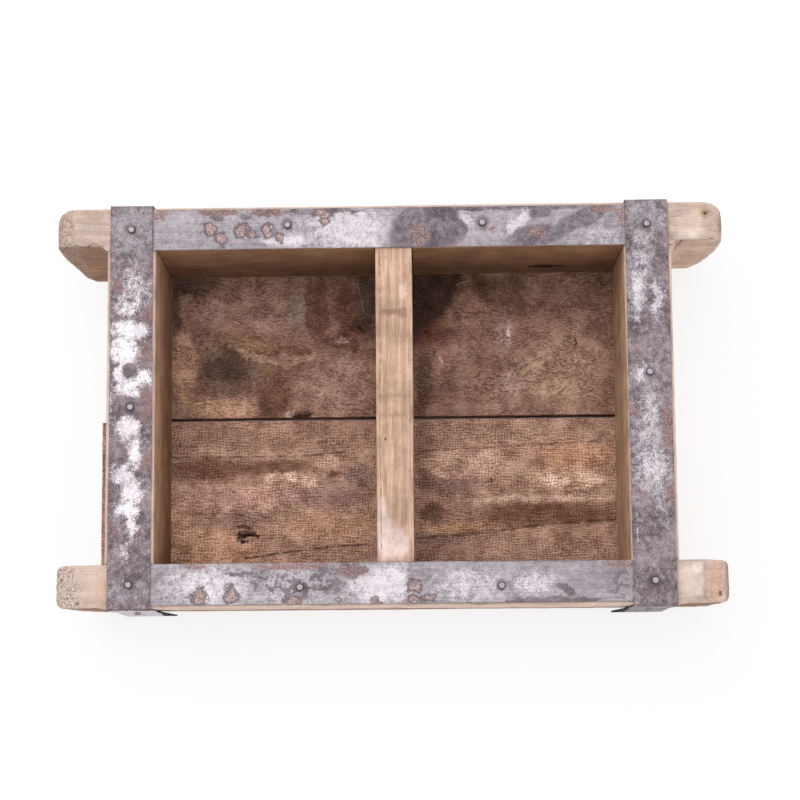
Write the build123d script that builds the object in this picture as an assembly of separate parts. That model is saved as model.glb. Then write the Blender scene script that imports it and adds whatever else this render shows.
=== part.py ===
from build123d import *
import os

# Two-cell brick mould: a nailed wooden frame on a plank floor, with hoop iron on its upper edges.
# Millimetres, X along the rails, Y across them from front to rear, Z up.
# The origin is the middle of the footprint, on the underside of the floor.

# Cells
left_cell_width = 146.5
right_cell_width = 141.5
cell_length = 210.5
cell_depth = 76.0

# Boards of the frame, all as high as the cells are deep
rear_rail_thickness = 30.0
front_rail_thickness = 30.0
left_end_thickness = 33.5
right_end_thickness = 32.5
divider_thickness = 25.5
housing_depth = 6.0
housing_clearance = 0.15

# Handles, the ends of the rails beyond the end boards, cut to a blunt nose
rear_handle_length = 36.5
front_handle_length = 35.0
nose_top_run = 15.0
nose_top_drop = 22.0
nose_under_run = 14.0
nose_under_rise = 42.0
nose_edge_radius = 6.0
rear_handle_corner_radius = 10.0
front_handle_corner_radius = 6.0
handle_inner_corner_radius = 4.0

# Floor of two planks
floor_thickness = 14.0
floor_gap = 1.6
floor_gap_shift = 0.6
floor_edge_inset = 0.4
floor_end_overhang = 5.0
front_floor_left_overhang = 17.0

# Hoop iron
strap_thickness = 1.5
end_strap_width = 29.0
rail_strap_width = 28.0
end_strap_inset = 2.4
rail_strap_end_inset = 2.0
strap_bend_radius = 1.2

# Joggles, where an end strap steps down from the rail straps to the end board
joggle_run = 4.0
joggle_setback = 1.0
joggle_radius = 4.0

# Lugs, the ends of an end strap that are turned down over the rails
lug_tight_length = 40.0
lug_leaving_radius = 20.0
lug_spring_gap = 1.6
lug_spread = 7.0
lug_lower_clearance = 1.0

# Nails
nail_shank_diameter = 2.8
nail_point_length = 4.0
round_head_diameter = 5.7
round_head_height = 1.8
round_head_rim = 0.4
flat_head_diameter = 6.5
flat_head_height = 1.2
flat_head_recess = 0.4
flat_head_clearance = 0.2
wood_hole_clearance = 0.1
strap_hole_clearance = 0.4
strap_nail_length = 30.0
lug_nail_length = 24.0
frame_nail_length = 65.0
floor_nail_length = 38.0

# Places of the nails, measured from the middle of the board, strap or cell that they belong to
left_middle_nail_shift = -1.0
right_middle_nail_shift = 19.0
rear_strap_left_nail_shift = 15.0
rear_strap_right_nail_shift = -23.5
front_strap_left_nail_shift = 23.0
front_strap_right_nail_shift = -14.0
rail_nail_outward_shift = 2.5
lug_nail_drop = 34.0
corner_nail_side_shift = 8.0
frame_nail_spread = 32.0
floor_rail_nail_shift = 38.0
floor_cross_nail_shift = 46.0

# Heights
frame_bottom = floor_thickness
frame_top = frame_bottom + cell_depth
rail_strap_top = frame_top + strap_thickness
end_strap_top = rail_strap_top + strap_thickness
lug_bottom = frame_bottom + lug_lower_clearance
lug_tight_bottom = frame_top - lug_tight_length
flat_head_depth = flat_head_height + flat_head_recess

# Places across the mould
inner_rear = cell_length / 2
inner_front = -inner_rear
outer_rear = inner_rear + rear_rail_thickness
outer_front = inner_front - front_rail_thickness
rear_rail_middle = (inner_rear + outer_rear) / 2
front_rail_middle = (inner_front + outer_front) / 2
rear_strap_middle = inner_rear + rail_strap_width / 2
front_strap_middle = inner_front - rail_strap_width / 2
rear_strap_nail_y = rear_strap_middle + rail_nail_outward_shift
front_strap_nail_y = front_strap_middle - rail_nail_outward_shift

# Places along the mould
frame_length = (
    left_end_thickness + left_cell_width + divider_thickness + right_cell_width + right_end_thickness
)
outer_left = -frame_length / 2
inner_left = outer_left + left_end_thickness
divider_left = inner_left + left_cell_width
divider_right = divider_left + divider_thickness
inner_right = divider_right + right_cell_width
outer_right = inner_right + right_end_thickness
left_end_middle = (outer_left + inner_left) / 2
right_end_middle = (outer_right + inner_right) / 2
divider_middle = (divider_left + divider_right) / 2
left_cell_middle = (inner_left + divider_left) / 2
right_cell_middle = (divider_right + inner_right) / 2
left_strap_outer = outer_left + end_strap_inset
left_strap_inner = left_strap_outer + end_strap_width
right_strap_outer = outer_right - end_strap_inset
right_strap_inner = right_strap_outer - end_strap_width
left_strap_middle = (left_strap_outer + left_strap_inner) / 2
right_strap_middle = (right_strap_outer + right_strap_inner) / 2

# A length that reaches past the whole mould on either side of the middle
reach = frame_length + outer_rear - outer_front


def block(x_range, y_range, z_range):
    """A square-cornered solid between two places along each axis, given in either order."""
    low_x, high_x = sorted(x_range)
    low_y, high_y = sorted(y_range)
    low_z, high_z = sorted(z_range)
    corner = (Align.MIN, Align.MIN, Align.MIN)
    return Pos(low_x, low_y, low_z) * Box(high_x - low_x, high_y - low_y, high_z - low_z, align=corner)


def without(board, holes):
    """A board with those of the holes that reach it."""
    bounds = board.bounding_box()
    return board - [hole for hole in holes if hole.bounding_box().overlaps(bounds)]


# Nails and their holes, pointing down with the underside of the head at the origin

def nail(length, head_height, head_edge):
    """A pointed shank under a head. The head's edge runs from the shank to the axis."""
    radius = nail_shank_diameter / 2
    shank = Polyline((0, -length), (radius, nail_point_length - length), (radius, 0))
    axis = Line((0, head_height), (0, -length))
    outline = Curve() + [shank, *head_edge, axis]
    return revolve(make_face(Plane.XZ * outline), Axis.Z)


def round_nail(length):
    """A nail with a domed head, for hoop iron."""
    rim = (round_head_diameter / 2, round_head_rim)
    underside = Polyline((nail_shank_diameter / 2, 0), (round_head_diameter / 2, 0), rim)
    dome = TangentArc((0, round_head_height), rim, tangent=(1, 0))
    return nail(length, round_head_height, [underside, dome])


def flat_nail(length):
    """A nail with a flat head, for wood."""
    radius = flat_head_diameter / 2
    underside = Line((nail_shank_diameter / 2, 0), (radius, 0))
    top = Polyline((radius, 0), (radius, flat_head_height), (0, flat_head_height))
    return nail(length, flat_head_height, [underside, top])


def wood_hole(length):
    """The hole that a shank makes in wood."""
    radius = (nail_shank_diameter + wood_hole_clearance) / 2
    return Cylinder(radius, length, align=(Align.CENTER, Align.CENTER, Align.MAX))


def sunk_hole(length):
    """A hole in wood with a recess in which a flat head lies below the surface."""
    radius = (flat_head_diameter + flat_head_clearance) / 2
    recess = Cylinder(radius, flat_head_depth, align=(Align.CENTER, Align.CENTER, Align.MIN))
    return wood_hole(length) + recess


def strap_hole():
    """The loose hole of a nail through two thicknesses of hoop iron."""
    radius = (nail_shank_diameter + strap_hole_clearance) / 2
    return Cylinder(radius, 2 * strap_thickness, align=(Align.CENTER, Align.CENTER, Align.MAX))


# The ways in which a nail is driven

def downward(x, y, z):
    """The place of a nail driven down from above."""
    return Location((x, y, z))


def upward(x, y, z):
    """The place of a nail driven up from below."""
    return Location((x, y, z), (180, 0, 0))


def rearward(x, y, z):
    """The place of a nail driven in from the front."""
    return Location((x, y, z), (90, 0, 0))


def frontward(x, y, z):
    """The place of a nail driven in from the rear."""
    return Location((x, y, z), (-90, 0, 0))


# The places of each group of nails

def end_strap_nail_places(strap_middle, middle_nail_shift):
    """Down through an end strap: one into each rail and one into the end board."""
    return [
        downward(strap_middle, rear_strap_middle, end_strap_top),
        downward(strap_middle, middle_nail_shift, rail_strap_top),
        downward(strap_middle, front_strap_middle, end_strap_top),
    ]


def rail_strap_nail_places(left_shift, right_shift, y):
    """Down through a rail strap: one beside each cell."""
    return [
        downward(left_cell_middle + left_shift, y, rail_strap_top),
        downward(right_cell_middle + right_shift, y, rail_strap_top),
    ]


def lug_nail_places(strap_middle):
    """Through the two lugs of an end strap into the outer faces of the rails."""
    height = frame_top - lug_nail_drop
    return [
        frontward(strap_middle, outer_rear + strap_thickness, height),
        rearward(strap_middle, outer_front - strap_thickness, height),
    ]


def rear_frame_nail_places(board_middle, side_shift):
    """Through the rear rail into the end of a cross board: an upper and a lower nail."""
    y = outer_rear - flat_head_depth
    height = frame_bottom + cell_depth / 2
    return [
        frontward(board_middle - side_shift, y, height + frame_nail_spread / 2),
        frontward(board_middle + side_shift, y, height - frame_nail_spread / 2),
    ]


def front_frame_nail_places(board_middle, side_shift):
    """Through the front rail into the end of a cross board: an upper and a lower nail."""
    y = outer_front + flat_head_depth
    height = frame_bottom + cell_depth / 2
    return [
        rearward(board_middle - side_shift, y, height + frame_nail_spread / 2),
        rearward(board_middle + side_shift, y, height - frame_nail_spread / 2),
    ]


def floor_nail_places(rail_middle, cross_shift):
    """Up through a plank: along the rail, and one into each cross board."""
    along_rail = [
        left_end_middle,
        left_cell_middle - floor_rail_nail_shift,
        left_cell_middle + floor_rail_nail_shift,
        right_cell_middle - floor_rail_nail_shift,
        right_cell_middle + floor_rail_nail_shift,
        right_end_middle,
    ]
    into_rail = [upward(x, rail_middle, flat_head_depth) for x in along_rail]
    cross_boards = [left_end_middle, divider_middle, right_end_middle]
    return into_rail + [upward(x, cross_shift, flat_head_depth) for x in cross_boards]


strap_nail_places = {
    "left_end_strap_nails": end_strap_nail_places(left_strap_middle, left_middle_nail_shift),
    "right_end_strap_nails": end_strap_nail_places(right_strap_middle, right_middle_nail_shift),
    "rear_rail_strap_nails": rail_strap_nail_places(
        rear_strap_left_nail_shift, rear_strap_right_nail_shift, rear_strap_nail_y
    ),
    "front_rail_strap_nails": rail_strap_nail_places(
        front_strap_left_nail_shift, front_strap_right_nail_shift, front_strap_nail_y
    ),
}
lug_places = {
    "left_lug_nails": lug_nail_places(left_strap_middle),
    "right_lug_nails": lug_nail_places(right_strap_middle),
}
frame_nail_places = {
    "rear_left_corner_nails": rear_frame_nail_places(left_end_middle, corner_nail_side_shift),
    "rear_right_corner_nails": rear_frame_nail_places(right_end_middle, corner_nail_side_shift),
    "rear_divider_nails": rear_frame_nail_places(divider_middle, 0),
    "front_left_corner_nails": front_frame_nail_places(left_end_middle, corner_nail_side_shift),
    "front_right_corner_nails": front_frame_nail_places(right_end_middle, corner_nail_side_shift),
    "front_divider_nails": front_frame_nail_places(divider_middle, 0),
}
plank_nail_places = {
    "rear_floor_nails": floor_nail_places(rear_rail_middle, floor_cross_nail_shift),
    "front_floor_nails": floor_nail_places(front_rail_middle, -floor_cross_nail_shift),
}


def placed(groups, one_solid):
    """Copies of a solid at every place of some groups of nails."""
    return [place * one_solid for places in groups.values() for place in places]


wood_holes = (
    placed(strap_nail_places, wood_hole(strap_nail_length))
    + placed(lug_places, wood_hole(lug_nail_length))
    + placed(frame_nail_places, sunk_hole(frame_nail_length))
    + placed(plank_nail_places, sunk_hole(floor_nail_length))
)
strap_holes = placed(strap_nail_places, strap_hole()) + placed(lug_places, strap_hole())


# Boards

def cross_board(x_range):
    """A board between the rails, its ends let into both of them."""
    y_range = (inner_front - housing_depth, inner_rear + housing_depth)
    return without(block(x_range, y_range, (frame_bottom, frame_top)), wood_holes)


def rail(inner, outer, housing_end, handle_length, corner_radius):
    """A long board with a nosed handle at each end, housed for the end boards and the divider."""
    left_tip = outer_left - handle_length
    right_tip = outer_right + handle_length
    nose_upper = frame_top - nose_top_drop
    nose_lower = frame_bottom + nose_under_rise
    side = FilletPolyline(
        (left_tip + nose_under_run, frame_bottom),
        (right_tip - nose_under_run, frame_bottom),
        (right_tip, nose_lower),
        (right_tip, nose_upper),
        (right_tip - nose_top_run, frame_top),
        (left_tip + nose_top_run, frame_top),
        (left_tip, nose_upper),
        (left_tip, nose_lower),
        radius=nose_edge_radius,
        close=True,
    )
    inner_radius = handle_inner_corner_radius
    plan = FilletPolyline(
        (left_tip, inner),
        (right_tip, inner),
        (right_tip, outer),
        (left_tip, outer),
        radius=[inner_radius, inner_radius, corner_radius, corner_radius],
        close=True,
    )
    board = extrude(make_face(plan), amount=frame_top)
    board &= extrude(make_face(Plane.XZ * side), amount=reach, both=True)
    for low_x, high_x in (
        (outer_left, inner_left),
        (divider_left, divider_right),
        (inner_right, outer_right),
    ):
        x_range = (low_x - housing_clearance, high_x + housing_clearance)
        board -= block(x_range, (inner, housing_end), (frame_bottom, frame_top))
    return without(board, wood_holes)


def floor_board(x_range, y_range):
    """A plank under one half of the frame."""
    return without(block(x_range, y_range, (0, floor_thickness)), wood_holes)


# Hoop iron

def rail_strap(y_range):
    """A flat strap along a rail, its ends under the end straps."""
    x_range = (left_strap_outer + rail_strap_end_inset, right_strap_outer - rail_strap_end_inset)
    return without(block(x_range, y_range, (frame_top, rail_strap_top)), strap_holes)


def end_strap_side():
    """The outline of an end strap, seen along the rails: lug, bend, joggles, bend and lug."""
    joggle_rear = inner_rear - joggle_setback
    joggle_front = inner_front + joggle_setback
    underside = FilletPolyline(
        (outer_front - lug_spring_gap, lug_bottom),
        (outer_front, lug_tight_bottom),
        (outer_front, rail_strap_top),
        (joggle_front, rail_strap_top),
        (joggle_front + joggle_run, frame_top),
        (joggle_rear - joggle_run, frame_top),
        (joggle_rear, rail_strap_top),
        (outer_rear, rail_strap_top),
        (outer_rear, lug_tight_bottom),
        (outer_rear + lug_spring_gap, lug_bottom),
        radius=[
            lug_leaving_radius,
            strap_bend_radius,
            joggle_radius,
            joggle_radius,
            joggle_radius,
            joggle_radius,
            strap_bend_radius,
            lug_leaving_radius,
        ],
    )
    return make_face(Plane.YZ * offset(underside, amount=strap_thickness, side=Side.LEFT))


def end_strap(outer_edge, inner_edge):
    """A strap over an end board, whose lugs spread towards the middle of the mould."""
    spread_edge = inner_edge + lug_spread * (1 if inner_edge > outer_edge else -1)

    def strip(x_range):
        low_x, high_x = sorted(x_range)
        return Pos(low_x, 0, 0) * extrude(end_strap_side(), amount=high_x - low_x)

    spread = Polyline(
        (inner_edge, lug_tight_bottom), (spread_edge, lug_bottom), (inner_edge, lug_bottom), close=True
    )
    wedge = extrude(make_face(Plane.XZ * spread), amount=reach, both=True)
    strap = strip((outer_edge, inner_edge)) + (strip((inner_edge, spread_edge)) & wedge)
    return without(strap, strap_holes)


pieces = {
    "rear_rail": rail(
        inner_rear, outer_rear, inner_rear + housing_depth, rear_handle_length, rear_handle_corner_radius
    ),
    "front_rail": rail(
        inner_front, outer_front, inner_front - housing_depth, front_handle_length, front_handle_corner_radius
    ),
    "left_end_board": cross_board((outer_left, inner_left)),
    "right_end_board": cross_board((inner_right, outer_right)),
    "divider": cross_board((divider_left, divider_right)),
    "rear_floor_board": floor_board(
        (outer_left - floor_end_overhang, outer_right + floor_end_overhang),
        (floor_gap_shift + floor_gap / 2, outer_rear - floor_edge_inset),
    ),
    "front_floor_board": floor_board(
        (outer_left - front_floor_left_overhang, outer_right + floor_end_overhang),
        (outer_front + floor_edge_inset, floor_gap_shift - floor_gap / 2),
    ),
    "rear_rail_strap": rail_strap((inner_rear, inner_rear + rail_strap_width)),
    "front_rail_strap": rail_strap((inner_front, inner_front - rail_strap_width)),
    "left_end_strap": end_strap(left_strap_outer, left_strap_inner),
    "right_end_strap": end_strap(right_strap_outer, right_strap_inner),
}
nail_groups = (
    (strap_nail_places, round_nail(strap_nail_length)),
    (lug_places, round_nail(lug_nail_length)),
    (frame_nail_places, flat_nail(frame_nail_length)),
    (plank_nail_places, flat_nail(floor_nail_length)),
)
for groups, one_nail in nail_groups:
    for name, places in groups.items():
        pieces[name] = Compound([place * one_nail for place in places])

os.makedirs("parts", exist_ok=True)
for name, piece in pieces.items():
    export_step(piece, f"parts/{name}.step")
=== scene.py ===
"""A worn two-cell brick mould: its boards, hoop iron and nails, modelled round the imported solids."""
import logging
import math
from dataclasses import dataclass
from enum import Enum
from typing import Callable, Iterable, Mapping, Optional, Protocol, Sequence, Union

import bmesh
import bpy
from mathutils import Matrix, Vector


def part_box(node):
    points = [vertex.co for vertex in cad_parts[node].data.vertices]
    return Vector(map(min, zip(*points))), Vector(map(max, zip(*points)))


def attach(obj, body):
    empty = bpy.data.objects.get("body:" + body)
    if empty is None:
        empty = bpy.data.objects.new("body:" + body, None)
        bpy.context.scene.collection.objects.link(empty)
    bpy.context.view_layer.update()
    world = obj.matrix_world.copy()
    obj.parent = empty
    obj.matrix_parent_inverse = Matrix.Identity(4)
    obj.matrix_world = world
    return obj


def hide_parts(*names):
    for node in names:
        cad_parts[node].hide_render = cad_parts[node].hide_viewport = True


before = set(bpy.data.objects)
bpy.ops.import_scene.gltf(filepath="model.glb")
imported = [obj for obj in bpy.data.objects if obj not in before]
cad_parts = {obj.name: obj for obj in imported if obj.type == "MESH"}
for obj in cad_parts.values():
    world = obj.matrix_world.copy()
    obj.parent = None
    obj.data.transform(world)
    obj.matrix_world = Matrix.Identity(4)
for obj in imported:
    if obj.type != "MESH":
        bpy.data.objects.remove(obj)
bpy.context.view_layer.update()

MM = 0.001
ROOT_BODY = "root"
log = logging.getLogger("brick_mould")

Piece = bpy.types.Object
Socket = bpy.types.NodeSocket
Sockets = Mapping[str, Socket]
Feed = Union[Socket, float, Sequence[float]]
Colour = tuple[float, float, float, float]


def shade(red: int, green: int, blue: int) -> Colour:
    """A colour given by its display values.

    Args:
        red, green, blue: display values from 0 to 255.

    Returns:
        The same colour as linear light, opaque.
    """
    def linear(value: int) -> float:
        """One channel as linear light."""
        part = value / 255
        return part / 12.92 if part <= 0.04045 else ((part + 0.055) / 1.055) ** 2.4

    return (linear(red), linear(green), linear(blue), 1.0)


class Axis(Enum):
    """The axes of the mould: along the rails, across them and up."""

    ALONG = 0
    ACROSS = 1
    UP = 2


class Grain(Enum):
    """The way in which the grain of a board runs."""

    ALONG = "along the rails"
    ACROSS = "across the rails"


# Working a mesh

class Bench:
    """A piece in edit mode, whose parts are picked by place and worked with mesh operators."""

    def __init__(self, piece: Piece) -> None:
        """Args: piece: the piece to work on."""
        self.piece = piece

    def __enter__(self) -> "Bench":
        """Takes the piece into edit mode, alone."""
        make_active(self.piece)
        bpy.ops.object.mode_set(mode="EDIT")
        return self

    def __exit__(self, *problem: object) -> None:
        """Leaves edit mode."""
        bpy.ops.object.mode_set(mode="OBJECT")

    def pick_faces(self, test: Callable[[bmesh.types.BMFace], bool]) -> None:
        """Selects the faces that pass a test, and nothing else."""
        bpy.ops.mesh.select_mode(type="FACE")
        bpy.ops.mesh.select_all(action="DESELECT")
        mesh = bmesh.from_edit_mesh(self.piece.data)
        for face in mesh.faces:
            if test(face):
                face.select_set(True)
        bmesh.update_edit_mesh(self.piece.data)

    def pick_edges(self, test: Callable[[Vector, Vector], bool]) -> None:
        """Selects the edges whose two ends pass a test, and nothing else."""
        bpy.ops.mesh.select_mode(type="EDGE")
        bpy.ops.mesh.select_all(action="DESELECT")
        mesh = bmesh.from_edit_mesh(self.piece.data)
        for edge in mesh.edges:
            if test(edge.verts[0].co, edge.verts[1].co):
                edge.select_set(True)
        bmesh.update_edit_mesh(self.piece.data)

    def pick_points(self, test: Callable[[Vector], bool]) -> None:
        """Selects the points that pass a test, and nothing else."""
        bpy.ops.mesh.select_mode(type="VERT")
        bpy.ops.mesh.select_all(action="DESELECT")
        mesh = bmesh.from_edit_mesh(self.piece.data)
        for point in mesh.verts:
            if test(point.co):
                point.select_set(True)
        mesh.select_flush(True)
        bmesh.update_edit_mesh(self.piece.data)

    def slice(self, axis: Axis, start: float, end: float, width: float) -> None:
        """Cuts the whole piece into strips.

        Args:
            axis: the axis that the cuts stand across.
            start, end: the places of the two ends of the stretch, in metres.
            width: the widest that a strip may be, in millimetres.
        """
        count = max(1, math.ceil((end - start) / (width * MM)))
        direction = [0.0, 0.0, 0.0]
        direction[axis.value] = 1.0
        for number in range(1, count + 1):
            place = start + (end - start) * number / count
            bpy.ops.mesh.select_all(action="SELECT")
            bpy.ops.mesh.bisect(plane_co=Vector(direction) * place, plane_no=direction)

    def turn_out(self) -> None:
        """Turns every face outwards."""
        bpy.ops.mesh.select_all(action="SELECT")
        bpy.ops.mesh.normals_make_consistent(inside=False)

    def halve(self, axis: Axis, width: float) -> None:
        """Halves every edge along an axis until none is longer than a width in millimetres."""
        while True:
            self.pick_edges(lambda a, b: abs((a - b)[axis.value]) > max(width * MM, 0.9 * (a - b).length))
            if self.piece.data.total_edge_sel == 0:
                return
            bpy.ops.mesh.subdivide(number_cuts=1)

    def trim(self, place: Sequence[float], outward: Sequence[float]) -> None:
        """Saws off what lies beyond a plane and closes the cut."""
        bpy.ops.mesh.select_all(action="SELECT")
        normal = Vector(outward).normalized()
        bpy.ops.mesh.bisect(plane_co=place, plane_no=normal, use_fill=True, clear_outer=True)


def make_active(piece: Piece) -> None:
    """Selects one piece alone."""
    bpy.ops.object.select_all(action="DESELECT")
    piece.select_set(True)
    bpy.context.view_layer.objects.active = piece


def start_block(name: str, low: Vector, high: Vector) -> Piece:
    """Starts a piece from a cube at its size and place.

    Args:
        name: the piece's name.
        low, high: its lowest and highest corners, in metres.

    Returns:
        The new object, with its place in its mesh.
    """
    bpy.ops.object.select_all(action="DESELECT")
    bpy.ops.mesh.primitive_cube_add(size=1, location=(low + high) / 2, scale=high - low)
    block = bpy.context.active_object
    bpy.ops.object.transform_apply(location=True, rotation=True, scale=True)
    block.name = name
    block.data.name = name
    return block


def apply_modifier(piece: Piece, kind: str, **settings: object) -> None:
    """Adds a modifier to a piece and applies it at once."""
    make_active(piece)
    modifier = piece.modifiers.new(kind.title(), kind)
    for name, value in settings.items():
        setattr(modifier, name, value)
    bpy.ops.object.modifier_apply(modifier=modifier.name)


@dataclass(frozen=True)
class Unevenness:
    """Bumps and hollows that a tool, the weather or wear has left in a surface.

    The bumps are as long as size along the axis of the stretch, times stretch, and stand or lie by depth.
    """

    size: float
    depth: float
    middle: float = 1.0
    stretch: tuple[float, float, float] = (1.0, 1.0, 1.0)
    layers: int = 2
    shift: float = 0.0

    def press_into(self, piece: Piece, group: str = "") -> None:
        """Moves the points of a piece, or those of one of its groups."""
        pattern = bpy.data.textures.new("Unevenness", "CLOUDS")
        pattern.noise_scale = self.size * MM
        pattern.noise_depth = self.layers
        ruler = bpy.data.objects.new("Ruler", None)
        bpy.context.collection.objects.link(ruler)
        ruler.scale = self.stretch
        ruler.location = (self.shift * MM, self.shift * MM, 0)
        bpy.context.view_layer.update()
        apply_modifier(
            piece, "DISPLACE", texture=pattern, texture_coords="OBJECT", texture_coords_object=ruler,
            strength=self.depth * MM, mid_level=self.middle, vertex_group=group,
        )
        bpy.data.objects.remove(ruler)
        bpy.data.textures.remove(pattern)


def weigh_points(piece: Piece, name: str, weight: Callable[[Vector], float]) -> None:
    """Gives the points of a piece a weight in a group, worked out from their places."""
    group = piece.vertex_groups.new(name=name)
    for point in piece.data.vertices:
        amount = weight(point.co)
        if amount > 0:
            group.add([point.index], min(amount, 1.0), "REPLACE")


def shrink_into(
    piece: Piece, weight: Callable[[Vector], float], depth: float, direction: str = "NORMAL"
) -> None:
    """Sinks the surface of a piece where a weight says so.

    Args:
        piece: the piece.
        weight: from 0 to 1 at each point's place.
        depth: how far a point of weight 1 sinks, in millimetres.
        direction: the way that the modifier moves the points.
    """
    weigh_points(piece, "Sunk", weight)
    apply_modifier(
        piece, "DISPLACE", strength=-depth * MM, mid_level=0.0, direction=direction, vertex_group="Sunk"
    )
    piece.vertex_groups.clear()


def cut_with(piece: Piece, cutters: Sequence[Piece]) -> None:
    """Cuts the shapes of some cutters out of a piece and clears the cutters away."""
    join_pieces(cutters)
    tool = bpy.context.active_object
    apply_modifier(piece, "BOOLEAN", operation="DIFFERENCE", object=tool, solver="EXACT")
    bpy.data.objects.remove(tool)


def join_pieces(pieces: Sequence[Piece]) -> None:
    """Joins some pieces into the first one, which stays active."""
    bpy.ops.object.select_all(action="DESELECT")
    for piece in pieces:
        piece.select_set(True)
    bpy.context.view_layer.objects.active = pieces[0]
    bpy.ops.object.join()


def near(first: float, second: float, slack: float = 0.02 * MM) -> bool:
    """Whether two places are the same, within a slack."""
    return abs(first - second) < slack


def hand_in(piece: Piece, finish: bpy.types.Material, node: str) -> None:
    """Finishes a piece: shades it, dresses it and seats it on the mould's body.

    Args:
        piece: the finished mesh.
        finish: the material.
        node: the node that the piece stands for.
    """
    make_active(piece)
    bpy.ops.object.shade_smooth_by_angle(angle=math.radians(40))
    piece.data.materials.clear()
    piece.data.materials.append(finish)
    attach(piece, ROOT_BODY)
    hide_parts(node)
    log.info("%s stands for %s, %d faces", piece.name, node, len(piece.data.polygons))


# Wiring a material

class Wiring:
    """Adds nodes to a tree and joins their sockets."""

    def __init__(self, tree: bpy.types.NodeTree) -> None:
        """Args: tree: the tree to wire."""
        self.tree = tree

    def feed(self, socket: Socket, value: Feed) -> None:
        """Links a socket to an output, or sets its own value."""
        if isinstance(value, Socket):
            self.tree.links.new(value, socket)
        else:
            socket.default_value = value

    def node(self, kind: str, feeds: dict, **settings: object) -> bpy.types.Node:
        """Adds a node.

        Args:
            kind: the node's type.
            feeds: what its inputs take, by name or number.
            settings: its own settings.

        Returns:
            The node.
        """
        made = self.tree.nodes.new(kind)
        for name, value in settings.items():
            setattr(made, name, value)
        for name, value in feeds.items():
            self.feed(made.inputs[name], value)
        return made

    def number(self, operation: str, *feeds: Feed, clamp: bool = False) -> Socket:
        """The result of a sum on numbers."""
        made = self.node("ShaderNodeMath", dict(enumerate(feeds)), operation=operation, use_clamp=clamp)
        return made.outputs[0]

    def times(self, first: Feed, second: Feed) -> Socket:
        """The product of two numbers."""
        return self.number("MULTIPLY", first, second)

    def vector(self, operation: str, *feeds: Feed) -> Socket:
        """The result of a sum on vectors."""
        made = self.node("ShaderNodeVectorMath", dict(enumerate(feeds)), operation=operation)
        return made.outputs["Value" if operation in ("LENGTH", "DOT_PRODUCT", "DISTANCE") else "Vector"]

    def scale(self, vector: Feed, amount: Feed) -> Socket:
        """A vector or colour made larger or smaller."""
        made = self.node("ShaderNodeVectorMath", {0: vector, "Scale": amount}, operation="SCALE")
        return made.outputs["Vector"]

    def blend(self, amount: Feed, first: Feed, second: Feed) -> Socket:
        """A colour between two others: the first at 0 and the second at 1."""
        made = self.node("ShaderNodeMix", {0: amount, 6: first, 7: second}, data_type="RGBA")
        return made.outputs[2]

    def slide(self, amount: Feed, first: Feed, second: Feed) -> Socket:
        """A number between two others: the first at 0 and the second at 1."""
        made = self.node("ShaderNodeMix", {0: amount, 2: first, 3: second}, data_type="FLOAT")
        return made.outputs[0]

    def step(
        self, value: Feed, start: Feed, end: Feed, low: float = 0.0, high: float = 1.0
    ) -> Socket:
        """A soft step from low to high as a value goes from start to end."""
        feeds = {0: value, 1: start, 2: end, 3: low, 4: high}
        return self.node("ShaderNodeMapRange", feeds, interpolation_type="SMOOTHSTEP").outputs[0]

    def noise(
        self, place: Feed, scale: float, detail: float = 2.0, roughness: float = 0.5
    ) -> bpy.types.Node:
        """A noise node at a place."""
        feeds = {"Vector": place, "Scale": scale, "Detail": detail, "Roughness": roughness}
        return self.node("ShaderNodeTexNoise", feeds)

    def grains(
        self, place: Feed, fineness: Sequence[float], detail: float = 2.0, roughness: float = 0.5
    ) -> Socket:
        """Noise whose grains have their own fineness along each axis, in grains a millimetre."""
        return self.noise(self.vector("MULTIPLY", place, fineness), 1.0, detail, roughness).outputs[0]

    def effect(self, group: bpy.types.NodeTree, feeds: dict) -> bpy.types.Node:
        """Places a node group."""
        made = self.tree.nodes.new("ShaderNodeGroup")
        made.node_tree = group
        for name, value in feeds.items():
            self.feed(made.inputs[name], value)
        return made


def start_effect(name: str, inputs: dict, outputs: Sequence[str]) -> tuple[Wiring, Sockets, Sockets]:
    """Starts a node group.

    Args:
        name: the effect's name.
        inputs: each input's name and its usual value, a number or a vector.
        outputs: the names of the outputs, numbers unless their name is Place.

    Returns:
        The wiring of the group, the sockets that it is given and those of its result.
    """
    tree = bpy.data.node_groups.new(name, "ShaderNodeTree")
    for label, usual in inputs.items():
        kind = "NodeSocketFloat" if isinstance(usual, float) else "NodeSocketVector"
        tree.interface.new_socket(label, in_out="INPUT", socket_type=kind).default_value = usual
    for label in outputs:
        kind = "NodeSocketVector" if label == "Place" else "NodeSocketFloat"
        tree.interface.new_socket(label, in_out="OUTPUT", socket_type=kind)
    given, result = tree.nodes.new("NodeGroupInput"), tree.nodes.new("NodeGroupOutput")
    return Wiring(tree), given.outputs, result.inputs


NOWHERE = (0.0, 0.0, 0.0)


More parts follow.
